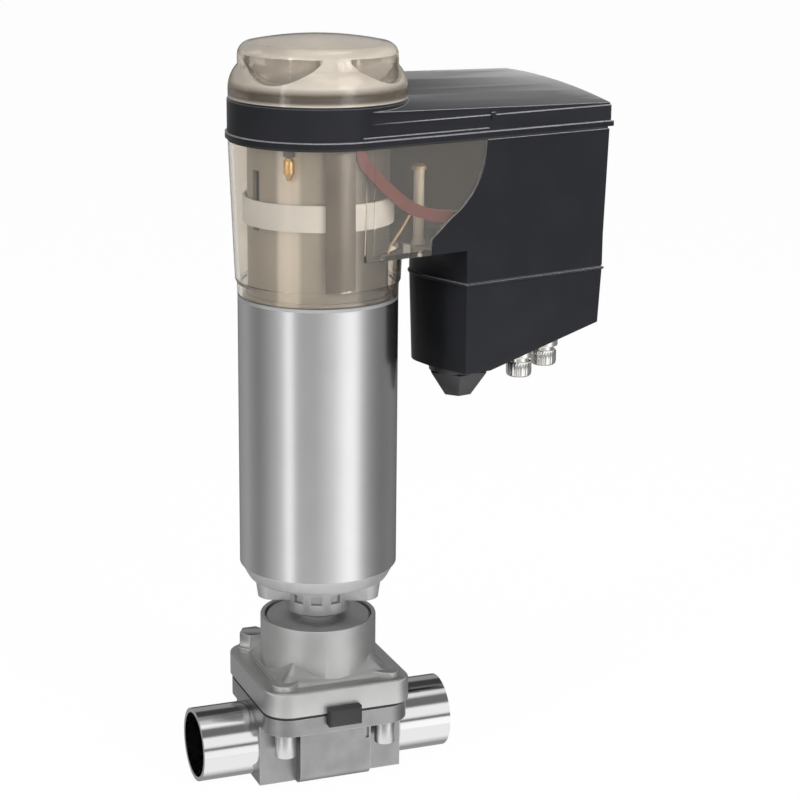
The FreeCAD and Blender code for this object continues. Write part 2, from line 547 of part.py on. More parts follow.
def toothed(name, pitch_radius, bore, height, teeth, seat, along="0"):
    """A spur gear with straight-sided teeth."""
    gear = new_body(name)
    revolve(gear, name + "_blank", ring_section(bore, pitch_radius + " - tooth_depth", "0", height))
    half = "%s * 1.5708 / %d" % (pitch_radius, teeth)
    tooth = extrude(gear, name + "_tooth", lambda sketch: outline(sketch, [
        ("-(%s)" % half, "%s - tooth_depth - 0.3" % pitch_radius), (half, "%s - tooth_depth - 0.3" % pitch_radius),
        ("(%s) * 0.5" % half, "%s + tooth_depth * 0.8" % pitch_radius),
        ("-(%s) * 0.5" % half, "%s + tooth_depth * 0.8" % pitch_radius)]), height)
    repeat(gear, name + "_teeth", tooth, str(teeth))
    return keep(gear, name, seat, along=along)


toothed("gear_wheel", "wheel_radius", "drive_nut_radius + fit_play", "wheel_height", 44,
        "nut_seat + drive_nut_length - wheel_height")
toothed("motor_pinion", "pinion_radius", "shaft_radius + fit_play", "wheel_height + 1", 12,
        "nut_seat + drive_nut_length - wheel_height - 0.5", along="motor_offset")
turned("motor_shaft", ring_section("0", "shaft_radius", "0", "wheel_height + bearing_height + plate_height + 2"),
       "nut_seat + drive_nut_length - wheel_height - 0.5", along="motor_offset")

# Gear plate on three posts, with the gear motor standing on it.
ROD_PLACES = [("post_circle * 0.5", "post_circle * 0.8660254"), ("-post_circle", "0"),
              ("post_circle * 0.5", "-post_circle * 0.8660254")]
body = new_body("gear_plate")
extrude(body, "plate", lambda sketch: [circle(sketch, "plate_radius"), circle(sketch, "screw_radius + 1.5")],
        "plate_height")
extrude(body, "plate_holes", lambda sketch: [circle(sketch, "rod_radius + 0.2", x, y) for x, y in ROD_PLACES]
        + [circle(sketch, "shaft_radius + 1", "motor_offset")], "plate_height + 2",
        lift="plate_height + 1", cut=True)
keep(body, "gear_plate", "plate_seat")
body = new_body("gear_posts")
extrude(body, "posts", lambda sketch: [circle(sketch, radius, x, y) for x, y in ROD_PLACES
                                       for radius in ("post_radius", "rod_radius + 0.2")], "plate_seat - base_top")
keep(body, "gear_posts", "base_top")
drum_set("tie_rods", [(x, y, "0", "rod_radius", "head_seat + head_flange - base_top + 10") for x, y in ROD_PLACES],
         "base_top - 6")
body = new_body("tie_rod_nuts")
extrude(body, "nuts", lambda sketch: [circle(sketch, radius, x, y) for x, y in ROD_PLACES
                                      for radius in ("3.6", "rod_radius + 0.05")], "3.2")
keep(body, "tie_rod_nuts", "housing_seat")
turned("motor_case", [("shaft_radius + 0.2", "0"), ("motor_radius", "0"), ("motor_radius", "motor_length - 2"),
                      ("motor_radius - 2", "motor_length"), ("0", "motor_length"),
                      ("0", "bearing_height + plate_height"), ("shaft_radius + 0.2", "bearing_height + plate_height")],
       "plate_seat + plate_height", along="motor_offset")

# Head plate: the plug of the tube's upper end, which carries the housing.
body = new_body("head_plate")
revolve(body, "head_form", [
    ("rod_radius + 0.4", "-plug_length"), ("tube_bore - plug_play", "-plug_length"),
    ("tube_bore - plug_play", "-plug_length / 2 - groove_width / 2"),
    ("tube_bore - 2 * cord_radius - 0.1", "-plug_length / 2 - groove_width / 2"),
    ("tube_bore - 2 * cord_radius - 0.1", "groove_width / 2 - plug_length / 2"),
    ("tube_bore - plug_play", "groove_width / 2 - plug_length / 2"), ("tube_bore - plug_play", "0"),
    ("tube_radius", "0"), ("tube_radius", "head_flange"), ("rod_radius + 0.4", "head_flange")])
extrude(body, "tie_rod_holes", lambda sketch: [circle(sketch, "rod_radius + 0.2", x, y) for x, y in ROD_PLACES],
        "plug_length + 4", lift="head_flange + 1", cut=True)
keep(body, "head_plate", "head_seat")

# Indicator: a white band that rides up and down on the sleeve with the spindle.
body = new_body("indicator_sleeve")
revolve(body, "sleeve_form", [
    ("sleeve_radius - sleeve_wall", "0"), ("sleeve_radius + 1.2", "0"), ("sleeve_radius + 1.2", "1.6"),
    ("sleeve_radius", "1.6"), ("sleeve_radius", "sleeve_height"), ("sleeve_radius - sleeve_wall", "sleeve_height")])
extrude(body, "sleeve_slots", lambda sketch: outline(sketch, block(
    "-slot_half", "slot_half", "indicator_height - 2", "indicator_height + stroke + arm_size + 10")),
    "sleeve_radius * 2 + 4", "YZ_Plane", cut=True, both=True)
keep(body, "indicator_sleeve", "housing_seat", turn="head_turn")
turned("indicator_rod", ring_section("0", "rod_radius", "0", "indicator_seat - rod_seat + 12"), "rod_seat")
body = new_body("indicator_spider")
revolve(body, "spider_hub", ring_section("rod_radius + fit_play", "4.5", "0", "arm_size"))
extrude(body, "spider_arms", lambda sketch: [
    outline(sketch, block("4", "sleeve_radius + band_play - 0.1", "-arm_size / 2", "arm_size / 2")),
    outline(sketch, block("-sleeve_radius - band_play + 0.1", "-4", "-arm_size / 2", "arm_size / 2"))], "arm_size")
keep(body, "indicator_spider", "indicator_seat + 4", turn="head_turn")
turned("indicator_band", ring_section("sleeve_radius + band_play", "sleeve_radius + band_play + band_wall",
                                      "0", "band_height"), "indicator_seat")

# Clear housing: round and slightly conical, with an open-topped arm that ends in an arc.
HOUSING_SIDE = [("tube_radius", "0"), ("tube_radius + 0.2", "step_height - 1.5"),
                ("housing_step", "step_height"), ("housing_top_radius", "housing_height")]
body = new_body("clear_housing")
revolve(body, "housing_round", [("0", "0")] + HOUSING_SIDE + [("0", "housing_height")])
extrude(body, "housing_arm", lambda sketch: outline(sketch, block(
    "0", "arc_centre + arc_radius - seam_play", "-cover_half", "cover_half")), "housing_height - arm_floor",
    lift="arm_floor")
revolve(body, "housing_inside", [("0", "-1"), ("tube_radius - housing_wall", "-1"),
                                 ("tube_radius + 0.2 - housing_wall", "step_height - 1.5"),
                                 ("housing_step - housing_wall", "step_height"),
                                 ("housing_top_radius - housing_wall", "housing_height"),
                                 ("housing_top_radius - housing_wall", "housing_height + 1"),
                                 ("0", "housing_height + 1")], cut=True)
extrude(body, "arm_inside", lambda sketch: outline(sketch, block(
    "5", "arc_centre + arc_radius + 5", "housing_wall - cover_half", "cover_half - housing_wall")),
    "housing_height - arm_floor - housing_wall + 1", lift="housing_height + 1", cut=True)
extrude(body, "arc_edge", lambda sketch: outline(sketch, [
    ("arc_centre + arc_radius + 9", "arm_floor - 1"), ("arc_centre + arc_radius + 9", "housing_height + 1"),
    ("arc_centre + arc_radius - seam_play", "housing_height + 1"),
    ("arc_centre + arc_radius - seam_play", "housing_height", "-arc_radius - seam_play"),
    ("arc_centre + arc_radius * 0.5", "housing_height - arc_radius * 0.8660254 + seam_play"),
    ("shell_start - seam_play", "arm_floor + 7"), ("shell_start - seam_play", "arm_floor - 1")]),
    "cover_half * 2 + 4", "XZ_Plane", cut=True, both=True)
keep(body, "clear_housing", "housing_seat", turn="head_turn")


# Light guide: a brown strip behind the housing's wall, and the lamp under the board's rim.
body = new_body("light_guide")
guide = revolve(body, "guide", ring_section("housing_step - housing_wall - 1.1", "housing_step - housing_wall - 0.3",
                                            "step_height", "sleeve_height - 2"))
guide.Angle = 22
keep(body, "light_guide", "housing_seat", turn="head_turn - 116.6")
turned("lamp_grommet", ring_section("0", "lamp_radius", "0", "3.2"), "board_seat - 3.2",
       turn="head_turn", along="lamp_along", across="lamp_across")
turned("status_lamp", [("0", "-10.4"), ("0.9", "-10.2"), ("1.2", "-9"), ("lamp_radius", "-7"),
                       ("lamp_radius", "-2"), ("1.4", "0"), ("0", "0")], "board_seat - 3.2",
       turn="head_turn", along="lamp_along", across="lamp_across")

# Post with its screw on the floor of the arm.
turned("arm_post", [("1.2", "0"), ("3.4", "0"), ("2.4", "3"), ("2.4", "post_height"), ("1.2", "post_height")],
       "arm_bottom + box_wall", turn="head_turn", along="post_along", across="post_across")
turned("post_screw", [("0", "-8"), ("1.15", "-8"), ("1.15", "0"), ("3.3", "0"), ("3.3", "1.6"), ("2.2", "2.8"),
                      ("0", "2.8")], "arm_bottom + box_wall + post_height",
       turn="head_turn", along="post_along", across="post_across")

# Control board on the sleeve, with its parts under the cap.
body = new_body("control_board")
extrude(body, "board", lambda sketch: circle(sketch, "board_radius"), "board_thick")
keep(body, "control_board", "board_seat", turn="head_turn")
BOARD_PARTS = [(-16, -9, 14, 10, 6), (2, -14, 9, 9, 4), (-12, 8, 20, 8, 5), (12, 2, 7, 12, 7)]
blocks = []
for number, (left, front, width, depth, high) in enumerate(BOARD_PARTS):
    part = doc.addObject("Part::Box", "board_part_%d" % number)
    part.Length = width
    part.Width = depth
    part.Height = high
    part.Placement = FreeCAD.Placement(Vector(left, front, 0), FreeCAD.Rotation())
    blocks.append(part)
group = doc.addObject("Part::MultiFuse", "board_parts_group")
group.Shapes = blocks
keep(group, "board_parts", "board_seat + board_thick", turn="head_turn")


def smooth_path(points):
    """Straight runs through a row of points, joined by arcs as large as their runs allow."""
    edges = []
    last = points[0]
    radii = []
    for before, corner, after in zip(points, points[1:], points[2:]):
        back_run = before - corner
        next_run = after - corner
        shorter = min(back_run.Length, next_run.Length)
        cut = 0.45 * shorter
        half_turn = (math.pi - back_run.getAngle(next_run)) / 2
        radius = cut / math.tan(half_turn)
        radii.append(round(radius, 1))
        back_way = Vector(back_run).normalize()
        next_way = Vector(next_run).normalize()
        inward = (back_way + next_way).normalize()
        first = corner + back_way * cut
        final = corner + next_way * cut
        middle = corner + inward * (radius / math.cos(half_turn) - radius)
        edges.append(Part.LineSegment(last, first).toShape())
        edges.append(Part.Arc(first, middle, final).toShape())
        last = final
    edges.append(Part.LineSegment(last, points[-1]).toShape())
    print("bend radii", radii)
    return Part.Wire(edges)


def cable(name, points, section):
    """A cable drawn in the head's frame: its section swept along the smoothed route."""
    route = smooth_path(points)
    shape = route.makePipeShell([section], True, True)
    piece = doc.addObject("Part::Feature", name)
    piece.Shape = shape if isinstance(shape, Part.Solid) else Part.Solid(shape) if isinstance(shape, Part.Shell) \
        else shape
    return keep(piece, name, "0", turn="head_turn")


# Flat red cable from the board into the terminal box, and the thin tan wire under it.
ribbon_y = size("ribbon_across")
ribbon_top = size("board_seat")
header_top = size("tray_seat - panel_height + board_thick + 8")
ribbon_points = [Vector(x, ribbon_y, z) for x, z in (
    (0.4, ribbon_top - 0.1), (1.0, ribbon_top - 6), (10.6, ribbon_top - 15.9), (18.4, ribbon_top - 22.7),
    (26.2, ribbon_top - 28.2), (36.8, ribbon_top - 32.3), (51, ribbon_top - 34.5), (66, ribbon_top - 37),
    (79, ribbon_top - 44), (85, ribbon_top - 57), (86, header_top + 0.1))]
half_width = size("ribbon_width") / 2
half_thick = size("ribbon_thick") / 2
ribbon_section = Part.makePolygon([ribbon_points[0] + Vector(dx * half_width, dy * half_thick, 0) for dx, dy in (
    (-1, -1), (1, -1), (1, 1), (-1, 1), (-1, -1))])
cable("ribbon_cable", ribbon_points, ribbon_section)
wire_head = ribbon_top - 31.1
wire_foot = size("arm_bottom + housing_wall") + 0.1
wire_points = [Vector(x, ribbon_y, wire_foot + share * (wire_head - wire_foot)) for x, share in (
    (25.3, 1), (22.2, 10.9 / 15.5), (18.5, 6.5 / 15.5), (15.2, 2.7 / 15.5), (14.4, 0))]
wire_section = Part.Wire(Part.makeCircle(size("wire_radius"), wire_points[0], wire_points[1] - wire_points[0]))
cable("sensor_wire", wire_points, wire_section)

# Cover seal and top cover: a round collar that runs on into the crowned lid of the arm.
def plan_block(edge, right, left="0"):
    """Draws the straight part of the head's plan."""
    return lambda sketch: outline(sketch, block(left, right, "-(%s)" % edge, edge))


body = new_body("cover_seal")
revolve(body, "seal_round", [("0", "0"), ("cover_half - 0.4", "0"), ("cover_half - 0.4", "seal_height"),
                             ("0", "seal_height")])
extrude(body, "seal_arm", plan_block("cover_half - 0.4", "arm_end - 0.6"), "seal_height")
revolve(body, "seal_hole", [("0", "-1"), ("cover_half - housing_wall", "-1"),
                            ("cover_half - housing_wall", "seal_height + 1"), ("0", "seal_height + 1")], cut=True)
extrude(body, "seal_arm_hole", plan_block("cover_half - housing_wall", "arm_end - box_wall", "5"),
        "seal_height + 2", lift="seal_height + 1", cut=True)
keep(body, "cover_seal", "seal_seat", turn="head_turn")


def lid_section(sketch):
    """Draws the lid's section: a crowned top that rises to the rear."""
    outline(sketch, [("-lid_half", "lid_fall + 1"), ("lid_half", "lid_fall + 1"),
                     ("lid_half", "lid_front + lid_rise", "lid_crown"), ("-lid_half", "lid_front")])


body = new_body("top_cover")
revolve(body, "collar", [("0", "0"), ("cover_radius", "0"), ("cover_radius", "cover_height - 0.8"),
                         ("cover_radius - 0.8", "cover_height"), ("0", "cover_height")])
extrude(body, "lid_wall", plan_block("lid_half", "arm_end + 0.4"), "lid_front - lid_fall - 1")
lid = extrude(body, "lid", lid_section, "arm_end + 0.4", "YZ_Plane")
lid.UseCustomVector = True
lid.AlongSketchNormal = True
lid.setExpression("Direction.x", bound("arm_end + 0.4"))
lid.setExpression("Direction.z", bound("-lid_fall"))
extrude(body, "lip_arm", plan_block("(cover_radius + lip_reach)", "arm_end + 0.4 + lip_reach"), "lip_height")
revolve(body, "lip_round", [("0", "0"), ("cover_radius + lip_reach", "0"),
                            ("cover_radius + lip_reach", "lip_height"), ("0", "lip_height")])
revolve(body, "cap_seat_cut", [("0", "cover_height"), ("cover_radius + 0.7", "cover_height"),
                               ("cover_radius + 0.7", "cover_height + 20"), ("0", "cover_height + 20")], cut=True)
revolve(body, "collar_inside", [("0", "-1"), ("cover_radius - cover_wall", "-1"),
                                ("cover_radius - cover_wall", "cover_height - cover_wall - 0.6"),
                                ("cap_hole", "cover_height - cover_wall - 0.6"), ("cap_hole", "cover_height + 1"),
                                ("0", "cover_height + 1")], cut=True)
extrude(body, "lid_inside", plan_block("(cover_radius - cover_wall)", "arm_end - cover_wall", "5"),
        "lid_front - lid_fall - cover_wall + 0.4", lift="lid_front - lid_fall - cover_wall - 0.6", cut=True)
extrude(body, "front_groove", lambda sketch: outline(sketch, block("-2", "clip_along - 0.6", "3.9", "4.7")),
        "2", "XZ_Plane", lift="cover_radius - 0.6", cut=True, back=True)
keep(body, "top_cover", "cover_seat", turn="head_turn")
body = new_body("lid_clip")
extrude(body, "clip", lambda sketch: outline(sketch, [
    ("clip_along + 0.1", "lid_front - lid_fall / 2 - 5"),
    ("clip_along + clip_width - 0.1", "lid_front - lid_fall / 2 - 5"),
    ("clip_along + clip_width - 0.1", "lid_front - lid_fall / 2 - 1.9"), ("clip_along + 0.1", "lid_front - lid_fall / 2 - 1.9")]),
    "0.7", "XZ_Plane", lift="lid_half + 0.02")
keep(body, "lid_clip", "cover_seat", turn="head_turn")

# Clear cap: a low dome over a waist with four finger recesses, on a flared lip.
body = new_body("top_cap")
revolve(body, "cap_form", [
    ("cap_hole - cap_play - cap_wall", "-cap_skirt"), ("cap_hole - cap_play", "-cap_skirt"),
    ("cap_hole - cap_play", "0"), ("cap_radius", "0"), ("cap_radius", "cap_lip", "15"),
    ("cap_waist", "cap_flare"), ("cap_waist", "cap_shoulder", "6"),
    ("dome_reach", "cap_height - cap_rim_drop", "dome"), ("0", "cap_height"),
    ("0", "cap_height - cap_wall - 0.8"), ("recess_floor - 1.8", "cap_height - cap_rim_drop - cap_wall"),
    ("recess_floor - 1.8", "cap_lip + 2"), ("cap_hole - cap_play - cap_wall", "cap_lip + 2")])
recess = extrude(body, "finger_recess", lambda sketch: outline(sketch, [
    ("-recess_half", "recess_high", "recess_radius"), ("recess_half", "recess_high")]),
    "14", "XZ_Plane", lift="recess_floor", cut=True, back=True)
repeat(body, "finger_recesses", recess, "4")
keep(body, "top_cap", "cap_seat", turn="head_turn + cap_turn")

# Terminal box: upper shell with the arm's rear part, and the tray that hangs below.
ARM_TOP = "(housing_height - arm_floor)"


def box_plan(inset="0"):
    """Draws the plan of the box: a slightly bulged left wall with one large round corner."""
    return lambda sketch: outline(sketch, [
        ("box_left + " + inset, "box_front + " + inset), ("box_right - " + inset, "box_front + " + inset),
        ("box_right - " + inset, "box_rear - " + inset),
        ("tray_left + box_corner", "box_rear - " + inset, "box_corner - " + inset),
        ("tray_left + " + inset, "box_rear - box_corner"), ("tray_left + " + inset, "box_front + 24")])


body = new_body("box_shell")
extrude(body, "arm", lambda sketch: outline(sketch, [
    ("shell_start", "0"), ("arm_end - end_draft", "0"), ("arm_end", ARM_TOP),
    ("arc_centre + arc_radius", ARM_TOP, "-arc_radius"),
    ("arc_centre + arc_radius * 0.5", ARM_TOP + " - arc_radius * 0.8660254"), ("shell_start", "7")]),
    "cover_half * 2", "XZ_Plane", both=True)
extrude(body, "upper_box", box_plan(), "box_top_drop + 1", lift="-box_top_drop")
extrude(body, "arm_inside", plan_block("(cover_half - box_wall)", "arm_end - box_wall - end_draft", "shell_start - 1"),
        ARM_TOP + " - box_wall + 1", lift=ARM_TOP + " + 1", cut=True)
extrude(body, "box_inside", box_plan("box_wall"), "box_top_drop + box_wall + 2", lift="box_wall + 1", cut=True)
keep(body, "box_shell", "arm_bottom", turn="head_turn")
body = new_body("box_seal")
extrude(body, "seal", box_plan("0.3"), "seam_height")
extrude(body, "seal_hole", box_plan("box_wall"), "seam_height + 2", lift="seam_height + 1", cut=True)
keep(body, "box_seal", "tray_seat", turn="head_turn")

SOCKETS = [("socket_along", "power"), ("socket_along + socket_pitch", "signal")]


def socket_level(along):
    """Height of a socket's flat seat under the sloping floor."""
    return "slope * (%s - socket_radius - 1.7 - slope_start) - tray_height" % along


body = new_body("box_tray")
tray = extrude(body, "tray", box_plan(), "tray_height", back=True)
tray.TaperAngle = -2.0
extrude(body, "sloping_floor", lambda sketch: outline(sketch, [
    ("slope_start", "-tray_height - 1"), ("arm_end + 9", "-tray_height - 1"),
    ("arm_end + 9", "slope * (arm_end + 9 - slope_start) - tray_height"), ("slope_start", "-tray_height")]),
    "300", "XZ_Plane", cut=True, both=True)
extrude(body, "gland_boss", lambda sketch: circle(sketch, "gland_radius + 0.4", "gland_along", "gland_across"),
        "7", lift="-tray_height")
for along, name in SOCKETS:
    extrude(body, name + "_boss", lambda sketch, along=along: circle(sketch, "socket_radius + 1.6", along, "socket_across"),
            "6", lift=socket_level(along))
extrude(body, "tray_inside", lambda sketch: outline(sketch, [
    ("box_left + box_wall + 1", "1"), ("box_left + box_wall + 1", "box_wall - tray_height"),
    ("slope_start", "box_wall - tray_height"),
    ("box_right - box_wall - 1.6", "slope * (box_right - box_wall - 1.6 - slope_start) + box_wall - tray_height"),
    ("box_right - box_wall - 1.6", "1")]),
    "box_depth - 8.4", "XZ_Plane", lift="cover_half - box_depth / 2 + 1.5", cut=True, both=True)
extrude(body, "gland_hole", lambda sketch: circle(sketch, "gland_radius - 5", "gland_along", "gland_across"),
        "12", lift="10 - tray_height", cut=True)
for along, name in SOCKETS:
    extrude(body, name + "_hole", lambda sketch, along=along: circle(sketch, "socket_radius - 0.7", along,
                                                                    "socket_across"),
            "12", lift=socket_level(along) + " + 10", cut=True)
keep(body, "box_tray", "tray_seat", turn="head_turn")

# Terminal board on its posts, with the terminal blocks and the cable's header.
PANEL_POSTS = [("62", "1.6"), ("118", "1.6"), ("118", "-31"), ("62", "-31")]
body = new_body("terminal_board")
extrude(body, "panel", lambda sketch: outline(sketch, block("59", "121", "-35", "4.6")), "board_thick")
keep(body, "terminal_board", "tray_seat - panel_height", turn="head_turn")
post_shapes = []
for x, y in PANEL_POSTS:
    floor = "box_wall - tray_height" + (" + slope * (%s + 2.4 - slope_start)" % x if x == "118" else "")
    post_shapes.append((x, y, floor, "2.4", "-panel_height - (%s)" % floor))
drum_set("board_posts", post_shapes, "tray_seat", turn="head_turn")
TERMINALS = [(62, -10, 40, 9, 10), (62, -25, 14, 9, 10), (82.5, -33.8, 9, 10, 8)]
blocks = []
for number, (left, front, width, depth, high) in enumerate(TERMINALS):
    part = doc.addObject("Part::Box", "terminal_%d" % number)
    part.Length = width
    part.Width = depth
    part.Height = high
    part.Placement = FreeCAD.Placement(Vector(left, front, 0), FreeCAD.Rotation())
    blocks.append(part)
group = doc.addObject("Part::MultiFuse", "terminal_blocks_group")
group.Shapes = blocks
keep(group, "terminal_blocks", "tray_seat - panel_height + board_thick", turn="head_turn")

# Cable gland: body in the tray, six-sided tapered nut and the rubber insert.
GLAND = {"turn": "head_turn", "along": "gland_along", "across": "gland_across"}
turned("gland_body", [("gland_bore + 2.6", "-gland_base"), ("gland_radius", "-gland_base"), ("gland_radius", "0"),
                      ("gland_radius - 5.2", "0"), ("gland_radius - 5.2", "8.6"), ("gland_bore + 2.6", "8.6")],
       "tray_seat - tray_height", **GLAND)


def hexagon(radius):
    """Draws a regular hexagon."""
    return lambda sketch: outline(sketch, [
        ("(%s) * %s" % (radius, across), "(%s) * %s" % (radius, up)) for across, up in (
            ("1", "0"), ("0.5", "0.8660254"), ("-0.5", "0.8660254"), ("-1", "0"), ("-0.5", "-0.8660254"),
            ("0.5", "-0.8660254"))])


body = new_body("gland_nut")
upper = new_sketch(body, "nut_upper", "XY_Plane")
hexagon("gland_radius")(upper)
lower = new_sketch(body, "nut_lower", "XY_Plane", "-gland_cone")
hexagon("gland_tip")(lower)
cone = body.newObject("PartDesign::AdditiveLoft", "nut_cone")
cone.Profile = upper
cone.Sections = [lower]
cone.Ruled = True
extrude(body, "nut_bore", lambda sketch: circle(sketch, "gland_bore"), "gland_cone + 2", lift="1", cut=True)
keep(body, "gland_nut", "tray_seat - tray_height - gland_base", **GLAND)
turned("gland_insert", ring_section("gland_bore - 1.8", "gland_bore - 0.1", "-gland_cone + 0.6", "gland_base + 4"),
       "tray_seat - tray_height - gland_base", **GLAND)

# Round sockets with their contact inserts.
for along, name in SOCKETS:
    place = {"turn": "head_turn", "along": along, "across": "socket_across"}
    seat = "tray_seat + " + socket_level(along)
    turned(name + "_socket", [
        ("socket_bore", "-socket_length + 3"), ("socket_radius - 0.6", "-socket_length + 3"),
        ("socket_radius", "-socket_length + 3.6"), ("socket_radius", "-2.6"), ("socket_radius + 1.3", "-2.6"),
        ("socket_radius + 1.3", "0"), ("socket_radius - 0.8", "0"), ("socket_radius - 0.8", "8"),
        ("socket_bore", "8")], seat, **place)
    turned(name + "_contacts", ring_section("0", "socket_bore - fit_play", "-socket_length + 7", "2"), seat, **place)

doc.recompute()
os.makedirs("parts", exist_ok=True)
failed = [item.Name for item in doc.Objects if "Invalid" in item.State or "Error" in item.State]
for piece in pieces:
    if piece.Shape.isNull() or not piece.Shape.isValid() or not piece.Shape.Solids:
        failed.append(piece.Label)
if failed:
    raise RuntimeError("these failed: " + ", ".join(failed))
for piece in pieces:
    piece.Shape.exportStep("parts/%s.step" % piece.Label)
print(len(pieces), "pieces")
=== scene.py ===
import json
import math

import bmesh
import bpy
from mathutils import Matrix, Vector


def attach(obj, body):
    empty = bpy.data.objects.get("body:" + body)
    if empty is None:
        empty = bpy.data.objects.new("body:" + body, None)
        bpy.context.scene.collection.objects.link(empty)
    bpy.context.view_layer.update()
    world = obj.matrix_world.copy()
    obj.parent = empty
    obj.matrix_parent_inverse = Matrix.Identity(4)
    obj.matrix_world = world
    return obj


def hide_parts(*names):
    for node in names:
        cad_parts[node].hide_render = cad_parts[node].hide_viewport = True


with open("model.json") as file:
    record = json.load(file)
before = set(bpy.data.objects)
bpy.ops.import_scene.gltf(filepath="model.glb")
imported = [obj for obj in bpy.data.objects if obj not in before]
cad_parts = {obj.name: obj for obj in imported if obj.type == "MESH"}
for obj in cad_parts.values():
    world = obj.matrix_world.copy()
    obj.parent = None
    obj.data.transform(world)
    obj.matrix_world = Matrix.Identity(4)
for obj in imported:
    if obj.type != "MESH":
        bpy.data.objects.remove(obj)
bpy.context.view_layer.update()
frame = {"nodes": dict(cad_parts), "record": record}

NODES = frame["nodes"]
scene = bpy.context.scene

MM = 0.001

# The spindle's axis stands on the pipe's axis, half way along it, and the head is turned about it.
SPINDLE_X_MM = 60
SPINDLE_X = 0.060
HEAD_TURN = math.radians(12.6)

# The side of the valve that the photograph shows, as a direction in the plan, and the way to its right.
FRONT_ANGLE = math.radians(-111.63)
front = Vector((math.cos(FRONT_ANGLE), math.sin(FRONT_ANGLE), 0))
front_right = Vector((-front.y, front.x, 0))

# The photograph's viewpoint, fitted to the ellipses of the tube and the spigots.
CAMERA_PLACE = (-0.25688, -0.89886, 0.41548)
CAMERA_PITCH = math.radians(15.117)
CAMERA_ROLL = math.radians(0.575)
CAMERA_LENS = 99.0
FILM_WIDTH = 36.0


def place_camera():
    """Makes the camera, which looks from the front and down, with a slight roll."""
    forward = -front * math.cos(CAMERA_PITCH) - Vector((0, 0, math.sin(CAMERA_PITCH)))
    level_up = front_right.cross(forward)
    right = front_right * math.cos(CAMERA_ROLL) + level_up * math.sin(CAMERA_ROLL)
    up = level_up * math.cos(CAMERA_ROLL) - front_right * math.sin(CAMERA_ROLL)
    data = bpy.data.cameras.new("photo_camera")
    data.sensor_width = FILM_WIDTH
    data.lens = CAMERA_LENS
    data.clip_start = 0.05
    data.clip_end = 20
    camera = bpy.data.objects.new("photo_camera", data)
    turn = Matrix((right, up, -forward)).transposed().to_4x4()
    camera.matrix_world = Matrix.Translation(CAMERA_PLACE) @ turn
    scene.collection.objects.link(camera)
    scene.camera = camera


place_camera()


# Shader node groups, and the helpers that link nodes in them and in the materials.
def new_group(name, inputs, outputs):
    """A shader node group with named sockets. Inputs are (name, kind, start value)."""
    group = bpy.data.node_groups.new(name, "ShaderNodeTree")
    for label, kind, value in inputs:
        socket = group.interface.new_socket(label, in_out="INPUT", socket_type=kind)
        socket.default_value = value
    for label, kind in outputs:
        group.interface.new_socket(label, in_out="OUTPUT", socket_type=kind)
    return group, group.nodes.new("NodeGroupInput"), group.nodes.new("NodeGroupOutput")


def add(tree, kind, **settings):
    """A node with its properties and its unlinked inputs set."""
    node = tree.nodes.new(kind)
    for key, value in settings.items():
        if hasattr(node, key):
            setattr(node, key, value)
        else:
            node.inputs[key.replace("_", " ")].default_value = value
    return node


def math_node(tree, operation, first, second, clamp=False):
    """A calculation with two values, each a number or a socket."""
    node = tree.nodes.new("ShaderNodeMath")
    node.operation = operation
    node.use_clamp = clamp
    for slot, value in zip(node.inputs, (first, second)):
        if isinstance(value, (int, float)):
            slot.default_value = value
        else:
            tree.links.new(value, slot)
    return node.outputs[0]


def spread(tree, value, low, high, new_low, new_high):
    """Maps a value from one range to another, held at both ends."""
    node = tree.nodes.new("ShaderNodeMapRange")
    tree.links.new(value, node.inputs["Value"])
    for label, number in (("From Min", low), ("From Max", high), ("To Min", new_low), ("To Max", new_high)):
        if isinstance(number, (int, float)):
            node.inputs[label].default_value = number
        else:
            tree.links.new(number, node.inputs[label])
    return node.outputs["Result"]


def make_grain():
    """Fine even grain with slow clouding: a value for roughness and a height for bump."""
    group, source, sink = new_group("grain", [
        ("Grain Size", "NodeSocketFloat", 0.0006), ("Cloud Size", "NodeSocketFloat", 0.02),
        ("Low", "NodeSocketFloat", 0.3), ("High", "NodeSocketFloat", 0.45)], [
        ("Value", "NodeSocketFloat"), ("Height", "NodeSocketFloat"), ("Clouds", "NodeSocketFloat")])
    links = group.links
    place = group.nodes.new("ShaderNodeTexCoord").outputs["Object"]
    fine = add(group, "ShaderNodeTexNoise", Detail=3.0, Roughness=0.6)
    coarse = add(group, "ShaderNodeTexNoise", Detail=2.0, Roughness=0.5)
    links.new(place, fine.inputs["Vector"])
    links.new(place, coarse.inputs["Vector"])
    links.new(math_node(group, "DIVIDE", 1.0, source.outputs["Grain Size"]), fine.inputs["Scale"])
    links.new(math_node(group, "DIVIDE", 1.0, source.outputs["Cloud Size"]), coarse.inputs["Scale"])
    mix = math_node(group, "ADD", math_node(group, "MULTIPLY", fine.outputs["Fac"], 0.5),
                    math_node(group, "MULTIPLY", coarse.outputs["Fac"], 0.5))
    links.new(spread(group, mix, 0.35, 0.65, source.outputs["Low"], source.outputs["High"]), sink.inputs["Value"])
    links.new(fine.outputs["Fac"], sink.inputs["Height"])
    links.new(spread(group, coarse.outputs["Fac"], 0.38, 0.62, 0.0, 1.0), sink.inputs["Clouds"])
    return group


